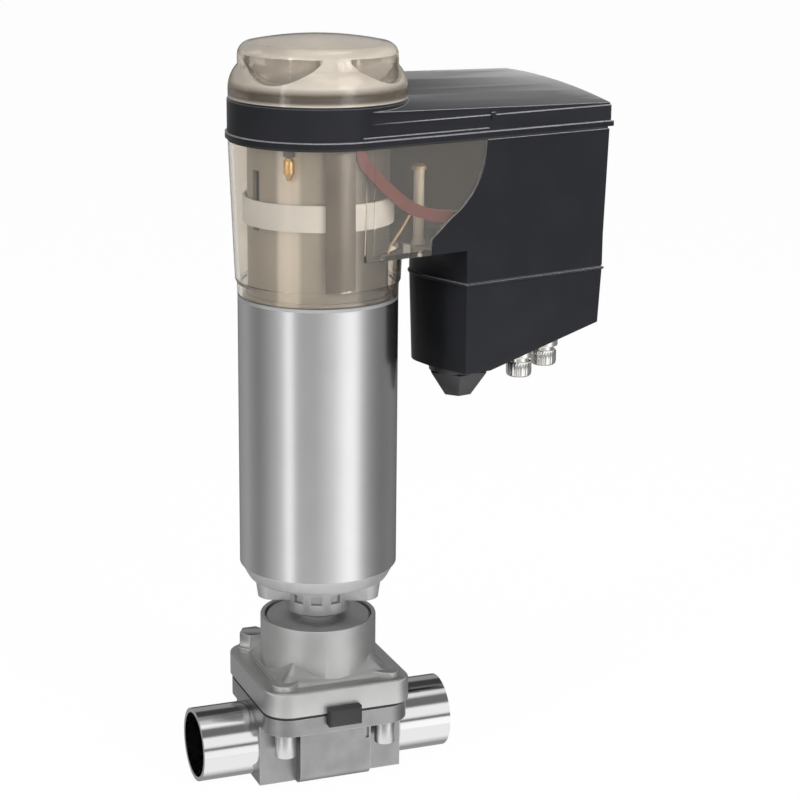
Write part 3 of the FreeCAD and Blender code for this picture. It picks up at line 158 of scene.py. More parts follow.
def make_lines():
    """Fine lines drawn out along one direction, as brushing or turning leaves them."""
    group, source, sink = new_group("drawn_lines", [
        ("Stretch", "NodeSocketVector", (1.0, 1.0, 40.0)), ("Line Size", "NodeSocketFloat", 0.0012),
        ("Low", "NodeSocketFloat", 0.2), ("High", "NodeSocketFloat", 0.3)], [
        ("Value", "NodeSocketFloat"), ("Height", "NodeSocketFloat")])
    links = group.links
    place = group.nodes.new("ShaderNodeTexCoord").outputs["Object"]
    pull = group.nodes.new("ShaderNodeVectorMath")
    pull.operation = "DIVIDE"
    links.new(place, pull.inputs[0])
    links.new(source.outputs["Stretch"], pull.inputs[1])
    noise = add(group, "ShaderNodeTexNoise", Detail=4.0, Roughness=0.65)
    links.new(pull.outputs[0], noise.inputs["Vector"])
    links.new(math_node(group, "DIVIDE", 1.0, source.outputs["Line Size"]), noise.inputs["Scale"])
    links.new(spread(group, noise.outputs["Fac"], 0.32, 0.68, source.outputs["Low"], source.outputs["High"]),
              sink.inputs["Value"])
    links.new(noise.outputs["Fac"], sink.inputs["Height"])
    return group


def make_worn_and_highlight_edges():
    """A mask of the outer edges, broken up by noise, for rubbed and polished corners, and an unbroken mask of the
    edges that face up, for painted highlights.
    """
    group, source, sink = new_group("worn_and_highlight_edges", [
        ("Width", "NodeSocketFloat", 0.0006), ("Amount", "NodeSocketFloat", 0.6)], [
        ("Mask", "NodeSocketFloat"), ("Painted Highlight Mask", "NodeSocketFloat")])
    links = group.links
    rounded = group.nodes.new("ShaderNodeBevel")
    rounded.samples = 4
    links.new(source.outputs["Width"], rounded.inputs["Radius"])
    geometry = group.nodes.new("ShaderNodeNewGeometry")
    compare = group.nodes.new("ShaderNodeVectorMath")
    compare.operation = "DOT_PRODUCT"
    links.new(rounded.outputs["Normal"], compare.inputs[0])
    links.new(geometry.outputs["Normal"], compare.inputs[1])
    place = group.nodes.new("ShaderNodeTexCoord").outputs["Object"]
    noise = add(group, "ShaderNodeTexNoise", Scale=420.0, Detail=3.0)
    links.new(place, noise.inputs["Vector"])
    edge = spread(group, compare.outputs["Value"], 0.985, 0.86, 0.0, 1.0)
    broken = math_node(group, "MULTIPLY", edge, spread(group, noise.outputs["Fac"], 0.35, 0.6, 0.3, 1.0))
    mask = math_node(group, "MULTIPLY", broken, source.outputs["Amount"], clamp=True)
    # The unbroken mask of the edges that face up carries painted highlights.
    highlight_edge = math_node(group, "MULTIPLY", edge, source.outputs["Amount"], clamp=True)
    links.new(mask, sink.inputs["Mask"])
    rise = group.nodes.new("ShaderNodeSeparateXYZ")
    links.new(rounded.outputs["Normal"], rise.inputs[0])
    upper = spread(group, rise.outputs["Z"], 0.15, 0.5, 0.0, 1.0)
    links.new(math_node(group, "MULTIPLY", highlight_edge, upper), sink.inputs["Painted Highlight Mask"])
    return group


GROUPS = {"grain": make_grain(), "lines": make_lines(), "edges": make_worn_and_highlight_edges()}


def use(tree, name, **values):
    """Places one of the groups in a material with this material's values."""
    node = tree.nodes.new("ShaderNodeGroup")
    node.node_tree = GROUPS[name]
    for key, value in values.items():
        node.inputs[key.replace("_", " ")].default_value = value
    return node


def tint(tree, factor, first, second):
    """Mixes two colours by a mask. Either may be a colour or a socket."""
    node = tree.nodes.new("ShaderNodeMix")
    node.data_type = "RGBA"
    tree.links.new(factor, node.inputs["Factor"])
    for slot, value in ((node.inputs[6], first), (node.inputs[7], second)):
        if isinstance(value, tuple):
            slot.default_value = value + (1.0,)
        else:
            tree.links.new(value, slot)
    return node.outputs[2]


def blend(tree, factor, first, second):
    """Mixes two values by a mask."""
    node = tree.nodes.new("ShaderNodeMix")
    for slot, value in zip((node.inputs[0], node.inputs[2], node.inputs[3]), (factor, first, second)):
        tree.links.new(value, slot)
    return node.outputs[0]


def places(tree):
    """A surface point's own place: along the pipe from the spindle, across the pipe, and up."""
    parts = tree.nodes.new("ShaderNodeSeparateXYZ")
    tree.links.new(tree.nodes.new("ShaderNodeTexCoord").outputs["Object"], parts.inputs[0])
    return math_node(tree, "ADD", parts.outputs["X"], -SPINDLE_X), parts.outputs["Y"], parts.outputs["Z"]


def bump(tree, shader, height, strength, distance):
    """Lets a height shape the shader's normal."""
    node = tree.nodes.new("ShaderNodeBump")
    node.inputs["Strength"].default_value = strength
    node.inputs["Distance"].default_value = distance
    tree.links.new(height, node.inputs["Height"])
    tree.links.new(node.outputs["Normal"], shader.inputs["Normal"])


def new_material(name):
    """A material with its node tree and its shader."""
    material = bpy.data.materials.new(name)
    material.use_nodes = True
    tree = material.node_tree
    return material, tree, tree.nodes["Principled BSDF"]


def steel(name, light, dark, low, high, stretch=None, line=0.0012, grain=0.0005, relief=0.12, worn=0.0):
    """Bare stainless steel: drawn lines where stretch is given, otherwise an even blasted grain."""
    material, tree, shader = new_material(name)
    shader.inputs["Metallic"].default_value = 1.0
    clouds = use(tree, "grain", Grain_Size=grain, Low=low, High=high)
    finish = clouds if stretch is None else use(tree, "lines", Stretch=stretch, Line_Size=line, Low=low, High=high)
    color = tint(tree, clouds.outputs["Clouds"], dark, light)
    if worn:
        edges = use(tree, "edges", Amount=worn)
        color = tint(tree, edges.outputs["Mask"], color, tuple(min(1.0, part * 1.25) for part in light))
    tree.links.new(color, shader.inputs["Base Color"])
    tree.links.new(finish.outputs["Value"], shader.inputs["Roughness"])
    bump(tree, shader, finish.outputs["Height"], relief, 0.0003)
    return material


# Half the length of the body's block, where the spigots start.
BLOCK_END = 0.0345


def spigots_and_block(name):
    """The valve body: mirror-bright drawn spigots, and a satin block between them."""
    material, tree, shader = new_material(name)
    shader.inputs["Metallic"].default_value = 1.0
    along = places(tree)[0]
    spigot = spread(tree, math_node(tree, "ABSOLUTE", along, 0.0), BLOCK_END - 0.0005, BLOCK_END + 0.0005, 0.0, 1.0)
    lines = use(tree, "lines", Stretch=(30.0, 1.0, 1.0), Line_Size=0.0010, Low=0.07, High=0.13)
    grain = use(tree, "grain", Grain_Size=0.0004, Cloud_Size=0.012, Low=0.34, High=0.44)
    tree.links.new(blend(tree, spigot, grain.outputs["Value"], lines.outputs["Value"]), shader.inputs["Roughness"])
    satin = tint(tree, grain.outputs["Clouds"], (0.27, 0.27, 0.27), (0.325, 0.325, 0.325))
    edges = use(tree, "edges", Amount=0.7)
    satin = tint(tree, edges.outputs["Mask"], satin, (0.62, 0.62, 0.62))
    tree.links.new(tint(tree, spigot, satin, (0.62, 0.62, 0.62)), shader.inputs["Base Color"])
    bump(tree, shader, grain.outputs["Height"], 0.06, 0.0002)
    return material


def facing_up(tree):
    """A mask of the surfaces that face up."""
    normal = tree.nodes.new("ShaderNodeSeparateXYZ")
    tree.links.new(tree.nodes.new("ShaderNodeNewGeometry").outputs["True Normal"], normal.inputs[0])
    return spread(tree, normal.outputs["Z"], 0.5, 0.7, 0.0, 1.0)


def moulded(name, light, dark, low, high, grain=0.0006, relief=0.12, worn=0.25, edge=None, edge_mask="Mask",
             gloss=0.5, sheen=0.0, top=None):
    """Moulded plastic or rubber: fine spark grain, slow clouding and slightly rubbed edges; the painted highlight
    mask puts the edge colour, as a painted highlight, only on the edges that face up.

    Surfaces that face up may have a painted highlight colour, top, and the full sheen, which is a fifth elsewhere.
    """
    material, tree, shader = new_material(name)
    shader.inputs["Specular IOR Level"].default_value = gloss
    shader.inputs["Sheen Roughness"].default_value = 0.3
    surface = use(tree, "grain", Grain_Size=grain, Low=low, High=high)
    edges = use(tree, "edges", Amount=worn)
    base = tint(tree, surface.outputs["Clouds"], dark, light)
    # A top colour is a painted highlight on the faces that point up.
    if top:
        base = tint(tree, facing_up(tree), base, top)
    if sheen:
        tree.links.new(spread(tree, facing_up(tree), 0.0, 1.0, 0.2 * sheen, sheen), shader.inputs["Sheen Weight"])
    # The edge colour is rubbed wear with the plain mask, and a painted highlight with the painted highlight mask.
    rubbed = edge or tuple(min(1.0, part * 1.6 + 0.02) for part in light)
    tree.links.new(tint(tree, edges.outputs[edge_mask], base, rubbed), shader.inputs["Base Color"])
    tree.links.new(surface.outputs["Value"], shader.inputs["Roughness"])
    bump(tree, shader, surface.outputs["Height"], relief, 0.0002)
    return material


def clear_plastic(name, light, dark, low, high, clearness):
    """Clear moulded plastic with a faint flow clouding and some milkiness."""
    material, tree, shader = new_material(name)
    shader.inputs["Transmission Weight"].default_value = clearness
    shader.inputs["IOR"].default_value = 1.46
    surface = use(tree, "grain", Grain_Size=0.004, Cloud_Size=0.03, Low=low, High=high)
    tree.links.new(tint(tree, surface.outputs["Clouds"], dark, light), shader.inputs["Base Color"])
    tree.links.new(surface.outputs["Value"], shader.inputs["Roughness"])
    bump(tree, shader, surface.outputs["Clouds"], 0.01, 0.0002)
    return material


# The cap's outline above its seat: a foot, a flank that narrows to the waist, and the dome's edge.
CAP_SEAT = 0.2939
CAP_FOOT_TOP, CAP_FOOT_RADIUS = 0.004, 0.0390
CAP_WAIST, CAP_WAIST_RADIUS = 0.014, 0.0349


def cap_plastic(name):
    """The cap: smoky and milky, with painted shade round its thick foot and along the edges of its finger hollows."""
    material = clear_plastic(name, (0.78, 0.71, 0.61), (0.69, 0.62, 0.53), 0.06, 0.14, 0.62)
    tree = material.node_tree
    shader = tree.nodes["Principled BSDF"]
    smoke = shader.inputs["Base Color"].links[0].from_socket
    along, across, up = places(tree)
    square = math_node(tree, "ADD", math_node(tree, "MULTIPLY", along, along),
                       math_node(tree, "MULTIPLY", across, across))
    height = math_node(tree, "SUBTRACT", up, CAP_SEAT)
    outline = spread(tree, height, CAP_FOOT_TOP, CAP_WAIST, CAP_FOOT_RADIUS, CAP_WAIST_RADIUS)
    depth = math_node(tree, "SUBTRACT", outline, math_node(tree, "SQRT", square, 0.0))
    hollow_shade = math_node(tree, "MULTIPLY", spread(tree, depth, 0.0003, 0.0010, 0.0, 1.0),
                       spread(tree, depth, 0.0014, 0.0038, 1.0, 0.25))
    hollow_shade = math_node(tree, "MULTIPLY", hollow_shade, spread(tree, height, 0.0185, 0.0205, 1.0, 0.0))
    foot = math_node(tree, "MULTIPLY", spread(tree, height, 0.0003, 0.0016, 0.0, 1.0),
                     spread(tree, height, 0.0045, 0.0078, 1.0, 0.0))
    # Painted shade: the foot band and the hollows' edges are darkened towards a dark brown.
    dark = math_node(tree, "MAXIMUM", math_node(tree, "MULTIPLY", hollow_shade, 0.7), foot)
    tree.links.new(tint(tree, dark, smoke, (0.15, 0.125, 0.095)), shader.inputs["Base Color"])
    return material


# The brightest value that a band can have.
BAND_TOP = 2.0


def band_ramp(tree, value, bands, low, high):
    """A brightness read from a row of (angle, brightness) bands."""
    ramp = tree.nodes.new("ShaderNodeValToRGB")
    stops = ramp.color_ramp.elements
    while len(stops) > 1:
        stops.remove(stops[-1])
    for number, (angle, brightness) in enumerate(bands):
        stop = stops[0] if number == 0 else stops.new((angle - low) / (high - low))
        stop.position = (angle - low) / (high - low)
        stop.color = (brightness / BAND_TOP,) * 3 + (1.0,)
    tree.links.new(spread(tree, value, low, high, 0.0, 1.0), ramp.inputs["Fac"])
    return math_node(tree, "MULTIPLY", ramp.outputs["Color"], BAND_TOP)


def front_parts(tree, way):
    """A direction's shares towards the valve's front, to the right of it and upward."""
    parts = []
    for direction in (front, front_right, Vector((0, 0, 1))):
        dot = tree.nodes.new("ShaderNodeVectorMath")
        dot.operation = "DOT_PRODUCT"
        tree.links.new(way, dot.inputs[0])
        dot.inputs[1].default_value = direction
        parts.append(dot.outputs["Value"])
    return parts


def in_degrees(tree, operation, first, second):
    """An angle worked out by a math node, in degrees."""
    return math_node(tree, "MULTIPLY", math_node(tree, operation, first, second), 180 / math.pi)


# Painted light and shade on the sleeve: brightness by the angle round it, from the valve's front and positive to the
# right, with a painted highlight strip near -29 to -14 degrees and painted shade on the arm's side.
SLEEVE_PAINTED_LIGHT_BANDS = [(-180, 0.34), (-90, 0.46), (-33, 0.42), (-29, 0.84), (-14, 0.80), (-10, 0.47), (9, 0.38), (34, 0.31),
                (40, 0.12), (90, 0.10), (180, 0.30)]


def sleeve(name):
    """The indicator sleeve: a smoky tube with painted light and shade by the angle round it, a painted highlight
    strip and painted shade on the arm's side.
    """
    material, tree, shader = new_material(name)
    centred = tree.nodes.new("ShaderNodeVectorMath")
    centred.operation = "SUBTRACT"
    tree.links.new(tree.nodes.new("ShaderNodeTexCoord").outputs["Object"], centred.inputs[0])
    centred.inputs[1].default_value = (SPINDLE_X, 0, 0)
    near, side = front_parts(tree, centred.outputs[0])[:2]
    # The painted light and shade multiplies the sleeve's own colour.
    shade = band_ramp(tree, in_degrees(tree, "ARCTAN2", side, near), SLEEVE_PAINTED_LIGHT_BANDS, -180, 180)
    surface = use(tree, "grain", Grain_Size=0.0008, Low=0.35, High=0.5)
    color = tint(tree, surface.outputs["Clouds"], (0.97, 0.92, 0.84), (1.0, 0.955, 0.88))
    node = tree.nodes.new("ShaderNodeMix")
    node.data_type = "RGBA"
    node.blend_type = "MULTIPLY"
    node.inputs["Factor"].default_value = 1.0
    tree.links.new(color, node.inputs[6])
    tree.links.new(shade, node.inputs[7])
    tree.links.new(node.outputs[2], shader.inputs["Base Color"])
    tree.links.new(surface.outputs["Value"], shader.inputs["Roughness"])
    bump(tree, shader, surface.outputs["Height"], 0.1, 0.0002)
    return material


MATERIALS = {
    "body_steel": spigots_and_block("polished_steel"),
    "bonnet_steel": steel("blasted_steel", (0.55, 0.55, 0.545), (0.50, 0.50, 0.495), 0.34, 0.46, relief=0.3),
    "screw_steel": steel("bright_screw_steel", (0.58, 0.58, 0.575), (0.50, 0.50, 0.495), 0.24, 0.34, relief=0.1),
    "spindle_steel": steel("turned_steel", (0.62, 0.62, 0.62), (0.55, 0.55, 0.55), 0.2, 0.3, (1.0, 1.0, 0.05), 0.004),
    "tube_steel": steel("satin_tube_steel", (0.60, 0.60, 0.60), (0.585, 0.585, 0.585), 0.22, 0.26, (1.0, 1.0, 0.04),
                        0.004, relief=0.05),
    "union_steel": steel("dull_union_steel", (0.60, 0.59, 0.595), (0.52, 0.51, 0.515), 0.45, 0.6),
    "base_alloy": steel("matt_alloy", (0.56, 0.56, 0.56), (0.5, 0.5, 0.5), 0.5, 0.62, relief=0.3),
    "bush_bronze": steel("bronze", (0.62, 0.42, 0.2), (0.5, 0.33, 0.15), 0.25, 0.4),
    "socket_nickel": steel("nickel_plate", (0.76, 0.75, 0.72), (0.66, 0.65, 0.62), 0.12, 0.22, relief=0.04),
    "lamp_brass": steel("lamp_brass", (0.80, 0.52, 0.18), (0.62, 0.38, 0.1), 0.2, 0.32),
    "screw_tan": steel("zinc_screw", (0.66, 0.52, 0.34), (0.5, 0.38, 0.22), 0.35, 0.5),
    "diaphragm_rubber": moulded("diaphragm_rubber", (0.020, 0.020, 0.021), (0.012, 0.012, 0.012), 0.45, 0.6),
    "seal_rubber": moulded("seal_rubber", (0.022, 0.022, 0.022), (0.014, 0.014, 0.014), 0.45, 0.6),
    "gear_plastic": moulded("gear_plastic", (0.72, 0.70, 0.62), (0.64, 0.62, 0.54), 0.4, 0.5),
    "sleeve_plastic": sleeve("sleeve_plastic"),
    "band_white": moulded("band_white", (0.94, 0.97, 1.0), (0.90, 0.93, 0.97), 0.35, 0.5),
    "guide_plastic": moulded("guide_plastic", (0.125, 0.096, 0.072), (0.095, 0.072, 0.055), 0.15, 0.25),
    "post_plastic": moulded("post_plastic", (0.70, 0.67, 0.58), (0.62, 0.59, 0.50), 0.35, 0.5),
    "board_green": moulded("board_green", (0.05, 0.16, 0.08), (0.03, 0.11, 0.05), 0.25, 0.4),
    "chip_black": moulded("chip_black", (0.025, 0.025, 0.026), (0.018, 0.018, 0.018), 0.4, 0.55),
    # The cable's faces that point up get a painted highlight, near white.
    "cable_red": moulded("cable_red", (0.20, 0.010, 0.010), (0.14, 0.007, 0.007), 0.35, 0.5, top=(0.8, 0.84, 0.8)),
    "wire_tan": moulded("wire_tan", (0.66, 0.48, 0.26), (0.56, 0.40, 0.2), 0.35, 0.5),
    "terminal_plastic": moulded("terminal_plastic", (0.22, 0.26, 0.30), (0.16, 0.2, 0.24), 0.4, 0.5),
    # Black plastic: its pale edge colour goes on the edges that face up as painted highlights.
    "black_plastic": moulded("black_plastic", (0.0100, 0.0104, 0.0130), (0.0085, 0.0089, 0.0110), 0.34, 0.4,
                             grain=0.0004, relief=0.05, worn=1.0, edge=(0.42, 0.42, 0.44), edge_mask="Painted Highlight Mask",
                             gloss=0.16, sheen=0.4),
    "gland_plastic": moulded("gland_plastic", (0.022, 0.022, 0.024), (0.014, 0.014, 0.016), 0.28, 0.42),
    "clear_plastic": clear_plastic("clear_smoke", (0.785, 0.735, 0.665), (0.755, 0.705, 0.635), 0.02, 0.06, 0.965),
    "cap_plastic": cap_plastic("cap_smoke"),
}


SLOT_OF = {part["node"]: part["material_slot"] for part in frame["record"]["subparts"]}
BODY_OF = {node: body for body, nodes in frame["record"]["behaviour"]["bodies"].items() for node in nodes}


def dress_nodes():
    """Gives every CAD node the material of its own slot."""
    for name, node in NODES.items():
        node.data.materials.clear()
        node.data.materials.append(MATERIALS[SLOT_OF[name]])


# Building tools. Lengths in these are millimetres.
def lathe(profile, steps):
    """A turned form: a closed outline in radius and height, spun right round the axis."""
    form = bmesh.new()
    points = [form.verts.new((radius, 0, height)) for radius, height in profile]
    edges = [form.edges.new(pair) for pair in zip(points, points[1:] + points[:1])]
    bmesh.ops.spin(form, geom=points + edges, cent=(0, 0, 0), axis=(0, 0, 1), angle=math.tau, steps=steps,
                   use_merge=True)
    bmesh.ops.remove_doubles(form, verts=form.verts, dist=0.001)
    return form


def slab(outline, low, high):
    """A straight form: a closed plan raised from one height to another."""
    form = bmesh.new()
    face = form.faces.new([form.verts.new((x, y, low)) for x, y in outline])
    raised = bmesh.ops.extrude_face_region(form, geom=[face])
    bmesh.ops.translate(form, vec=(0, 0, high - low),
                        verts=[item for item in raised["geom"] if isinstance(item, bmesh.types.BMVert)])
    return form


def soften(form, width, wanted=None, segments=2, angle=28):
    """Rounds the sharp edges that the test picks, or all of them."""
    sharp = [edge for edge in form.edges if edge.is_manifold and edge.calc_face_angle() > math.radians(angle)
             and (wanted is None or wanted(edge))]
    bmesh.ops.bevel(form, geom=sharp, offset=width, segments=segments, profile=0.5, affect="EDGES", material=-1,
                    clamp_overlap=True)
    return form


def from_node(name):
    """A merged copy of a CAD node in millimetres, its flat faces whole again."""
    form = bmesh.new()
    form.from_mesh(NODES[name].data)
    bmesh.ops.scale(form, vec=(1000, 1000, 1000), verts=form.verts)
    bmesh.ops.remove_doubles(form, verts=form.verts, dist=0.002)
    bmesh.ops.dissolve_limit(form, angle_limit=math.radians(0.6), verts=form.verts, edges=form.edges)
    return form


# Edges sharper than this stay sharp in a finished form.
SHARP_ANGLE = math.radians(32)


def piece(name, form, node):
    """Makes the object of a finished form, which rides on its body in place of its CAD node."""
    bmesh.ops.scale(form, vec=(MM, MM, MM), verts=form.verts)
    bmesh.ops.remove_doubles(form, verts=form.verts, dist=1e-7)
    bmesh.ops.recalc_face_normals(form, faces=form.faces)
    mesh = bpy.data.meshes.new(name)
    form.to_mesh(mesh)
    form.free()
    mesh.shade_smooth()
    mesh.set_sharp_from_angle(angle=SHARP_ANGLE)
    item = bpy.data.objects.new(name, mesh)
    scene.collection.objects.link(item)
    mesh.materials.append(MATERIALS[SLOT_OF[node]])
    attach(item, BODY_OF[node])
    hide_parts(node)


# Studio: a pale floor, a white surround, two tall lamps at the front and one overhead.
def area_light(name, place, target, width, height, power):
    """A soft lamp that is aimed at a point. Mirroring surfaces see the studio's bands and not the lamp."""
    data = bpy.data.lights.new(name, "AREA")
    data.shape = "RECTANGLE"
    data.size = width
    data.size_y = height
    data.energy = power
    lamp = bpy.data.objects.new(name, data)
    lamp.location = place
    lamp.rotation_mode = "QUATERNION"
    lamp.rotation_quaternion = (Vector(target) - Vector(place)).to_track_quat("-Z", "Y")
    lamp.visible_glossy = False
    scene.collection.objects.link(lamp)


# What the metal mirrors at the height of the tube: brightness by the angle round the valve, measured
# from its front and positive to the right, and above and below that by the height angle.
ROUND_BANDS = [(-180, 0.10), (-144, 0.37), (-122, 0.49), (-106, 0.34), (-93, 0.25), (-81, 0.32), (-60, 0.58),
               (-50, 0.80), (-44, 1.40), (-37, 1.75), (-31, 0.62), (-23, 0.54), (0, 0.54), (20, 0.86), (29, 1.06),
               (38, 1.42), (47, 1.62), (58, 1.58), (67, 0.80), (77, 0.45), (89, 0.30), (102, 0.23), (135, 0.28),
               (180, 0.10)]
HEIGHT_BANDS = [(-90, 1.30), (-30, 1.30), (-8, 0.20), (2, 0.20), (9, 1.30), (34, 1.30), (40, 0.22), (60, 0.22),
                (67, 1.40), (90, 1.40)]

# The upright tube mirrors directions that lie about this far below the level, in degrees. The round bands
# are full up to the first of the two angles from there, and gone at the second.
MIRRORED_LEVEL = 15.0
LEVEL_FULL, LEVEL_GONE = 9.0, 14.0


def mirrored_studio(tree):
    """The brightness that a mirror-bright surface sees in each direction."""
    way = tree.nodes.new("ShaderNodeTexCoord").outputs["Generated"]
    near, side, height = front_parts(tree, way)
    turn = in_degrees(tree, "ARCTAN2", side, near)
    rise = in_degrees(tree, "ARCSINE", height, 0.0)
    around_value = band_ramp(tree, turn, ROUND_BANDS, -180, 180)
    height_value = band_ramp(tree, rise, HEIGHT_BANDS, -90, 90)
    behind = spread(tree, near, -0.35, 0.1, 0.3, 1.0)
    height_value = math_node(tree, "MULTIPLY", height_value, behind)
    off_level = math_node(tree, "ABSOLUTE", math_node(tree, "ADD", rise, MIRRORED_LEVEL), 0.0)
    level = spread(tree, off_level, LEVEL_FULL, LEVEL_GONE, 1.0, 0.0)
    return blend(tree, level, height_value, around_value)


def seen_directly(tree):
    """Whether a ray comes from the eye, also through clear plastic."""
    path = tree.nodes.new("ShaderNodeLightPath")
    return math_node(tree, "MAXIMUM", path.outputs["Is Camera Ray"], path.outputs["Is Transmission Ray"])


# How bright the surround is as a light, where the eye sees 1.
SURROUND_LIGHT = 0.42


def studio_world():
    """A white surround, dimmer as a light than to the eye, and the studio's bands for what mirrors it."""
    world = bpy.data.worlds.new("studio_world")
    world.use_nodes = True
    world.cycles.sampling_method = "NONE"
    tree = world.node_tree
    tree.nodes.clear()
    strength = spread(tree, seen_directly(tree), 0.0, 1.0, SURROUND_LIGHT, 1.0)
    mirroring = tree.nodes.new("ShaderNodeLightPath").outputs["Is Glossy Ray"]
    background = tree.nodes.new("ShaderNodeBackground")
    background.inputs["Color"].default_value = (1, 1, 1, 1)
    tree.links.new(blend(tree, mirroring, strength, mirrored_studio(tree)), background.inputs["Strength"])
    out = tree.nodes.new("ShaderNodeOutputWorld")
    tree.links.new(background.outputs[0], out.inputs["Surface"])
    scene.world = world


# The floor's height, just under the lowest solid, its size each way from the middle, and how much of it is
# as white as the surround.
FLOOR_HEIGHT = -0.0175
FLOOR_SIZE = 6.0
FLOOR_WHITE = 0.97


def floor():
    """A pale floor that takes soft shade and melts into the white surround."""
    shape = bmesh.new()
    bmesh.ops.create_grid(shape, x_segments=2, y_segments=2, size=FLOOR_SIZE)
    bmesh.ops.translate(shape, vec=(0, 0, FLOOR_HEIGHT), verts=shape.verts)
    mesh = bpy.data.meshes.new("floor")
    shape.to_mesh(mesh)
    shape.free()
    plane = bpy.data.objects.new("floor", mesh)
    scene.collection.objects.link(plane)
    material, tree, shader = new_material("floor_white")
    noise = add(tree, "ShaderNodeTexNoise", Scale=3.0)
    tree.links.new(tree.nodes.new("ShaderNodeTexCoord").outputs["Object"], noise.inputs["Vector"])
    pale = tint(tree, noise.outputs["Fac"], (0.80, 0.80, 0.80), (0.84, 0.84, 0.84))
    tree.links.new(pale, shader.inputs["Base Color"])
    shader.inputs["Roughness"].default_value = 0.9
    glow = tree.nodes.new("ShaderNodeEmission")
    mix = tree.nodes.new("ShaderNodeMixShader")
    tree.links.new(math_node(tree, "MULTIPLY", seen_directly(tree), FLOOR_WHITE), mix.inputs[0])
    tree.links.new(shader.outputs[0], mix.inputs[1])
    tree.links.new(glow.outputs[0], mix.inputs[2])
    tree.links.new(mix.outputs[0], tree.nodes["Material Output"].inputs["Surface"])
    mesh.materials.append(material)
    plane.visible_glossy = False


def around(angle, distance, height):
    """A place round the valve, with the angle measured from its front and positive to the right."""
    way = Matrix.Rotation(math.radians(angle), 3, "Z") @ front
    return Vector((SPINDLE_X, 0, height)) + way * distance


def lights():
    """A narrow lamp at the left, a wide one at the right and a square one overhead."""
    middle, upper = Vector((SPINDLE_X, 0, 0.15)), Vector((SPINDLE_X, 0, 0.2))
    area_light("left_strip", around(-42, 1.6, 0.45), middle, width=0.12, height=1.5, power=14)
    area_light("right_box", around(43, 1.6, 0.45), middle, width=0.42, height=1.5, power=34)
    area_light("top_box", around(10, 0.5, 1.7), upper, width=1.2, height=1.2, power=16)


# Pieces whose edges catch the light: the solid's own form with its sharp edges eased, by these widths.
EASED = {
    "top_cover": 0.5, "box_shell": 0.7, "box_tray": 0.7, "lid_clip": 0.15, "flange_nuts": 0.3, "flange_screws": 0.3,
    "flange_washers": 0.15, "gland_nut": 0.9, "gland_body": 0.3, "actuator_base": 0.3, "union_nut": 0.3,
}


def join(form, other, place):
    """Adds another form to this one."""
    bmesh.ops.transform(other, matrix=place, verts=other.verts)
    mesh = bpy.data.meshes.new("joined")
    other.to_mesh(mesh)
    other.free()
    form.from_mesh(mesh)
    bpy.data.meshes.remove(mesh)


def outer_loop(form, height):
    """The outermost closed line where a level plane cuts a form, in order, as points of the plan."""
    cut = form.copy()
    result = bmesh.ops.bisect_plane(cut, geom=cut.verts[:] + cut.edges[:] + cut.faces[:], plane_co=(0, 0, height),
                                    plane_no=(0, 0, 1), clear_inner=True, clear_outer=True)
    edges = [item for item in result["geom_cut"] if isinstance(item, bmesh.types.BMEdge)]
    loops = []
    while edges:
        first, last = edges.pop().verts
        loop = [first, last]
        while True:
            following = [other for other in last.link_edges if other in edges]
            if not following:
                break
            edges.remove(following[0])
            last = following[0].other_vert(last)
            if last is first:
                break
            loop.append(last)
        loops.append([Vector((point.co.x, point.co.y)) for point in loop])
    cut.free()
    return max(loops, key=lambda loop: max(point.x for point in loop) - min(point.x for point in loop))


def bead(form, loop, height, reach, half, sides=6):
    """Adds a rounded bead that stands out from a closed plan line and is rooted inside it."""
    area = sum(a.x * b.y - b.x * a.y for a, b in zip(loop, loop[1:] + loop[:1]))
    if area < 0:
        loop = loop[::-1]
    rows = []
    for before, point, after in zip(loop[-1:] + loop[:-1], loop, loop[1:] + loop[:1]):
        ways = [(point - before).normalized(), (after - point).normalized()]
        out = [Vector((way.y, -way.x)) for way in ways]
        mean = (out[0] + out[1]).normalized()
        stretch = 1 / max(0.5, mean.dot(out[0]))
        row = [(-0.6, -half), (-0.6, half)]
        row += [(reach * math.sin(math.pi * step / sides), half * math.cos(math.pi * step / sides))
                for step in range(1, sides)]
        rows.append([form.verts.new((point.x + mean.x * far * stretch, point.y + mean.y * far * stretch, height + up))
                     for far, up in row])
    for row, following in zip(rows, rows[1:] + rows[:1]):
        for index in range(len(row)):
            form.faces.new((row[index], following[index], following[index - 1], row[index - 1]))


def eased(node):
    """A solid's own form with its sharp edges eased."""
    return soften(from_node(node), EASED[node])


def head_place(point):
    """A point of the valve given in the head's own directions from the spindle."""
    return Matrix.Rotation(-HEAD_TURN, 3, "Z") @ (point - Vector((SPINDLE_X_MM, 0, 0)))


# The tray's bottom edge beside the tube: how far along the head it ends, and its radius.
TRAY_EDGE_END = 56
TRAY_EDGE_RADIUS = 5.0


def tray():
    """The box's tray: its bottom edge beside the tube is well rounded, and a bead runs along its seam."""
    form = from_node("box_tray")
    bottom = min(vertex.co.z for vertex in form.verts)
    soften(form, TRAY_EDGE_RADIUS, segments=6, wanted=lambda edge: all(
        point.co.z < bottom + 0.1 and head_place(point.co).x < TRAY_EDGE_END for point in edge.verts))
    soften(form, EASED["box_tray"])
    seam = max(vertex.co.z for vertex in form.verts)
    bead(form, outer_loop(from_node("box_tray"), seam - 1.2), height=seam - 0.6, reach=0.75, half=0.7)
    return form


def square_reach(way, half, corner):
    """How far a rounded square reaches from its centre in one direction."""
    flat = max(abs(way.x), abs(way.y))
    reach = half / flat
    middle = half - corner
    if reach * min(abs(way.x), abs(way.y)) > middle:
        along = middle * (abs(way.x) + abs(way.y))
        reach = along + math.sqrt(max(0.0, corner ** 2 - 2 * middle ** 2 + along ** 2))
    return reach


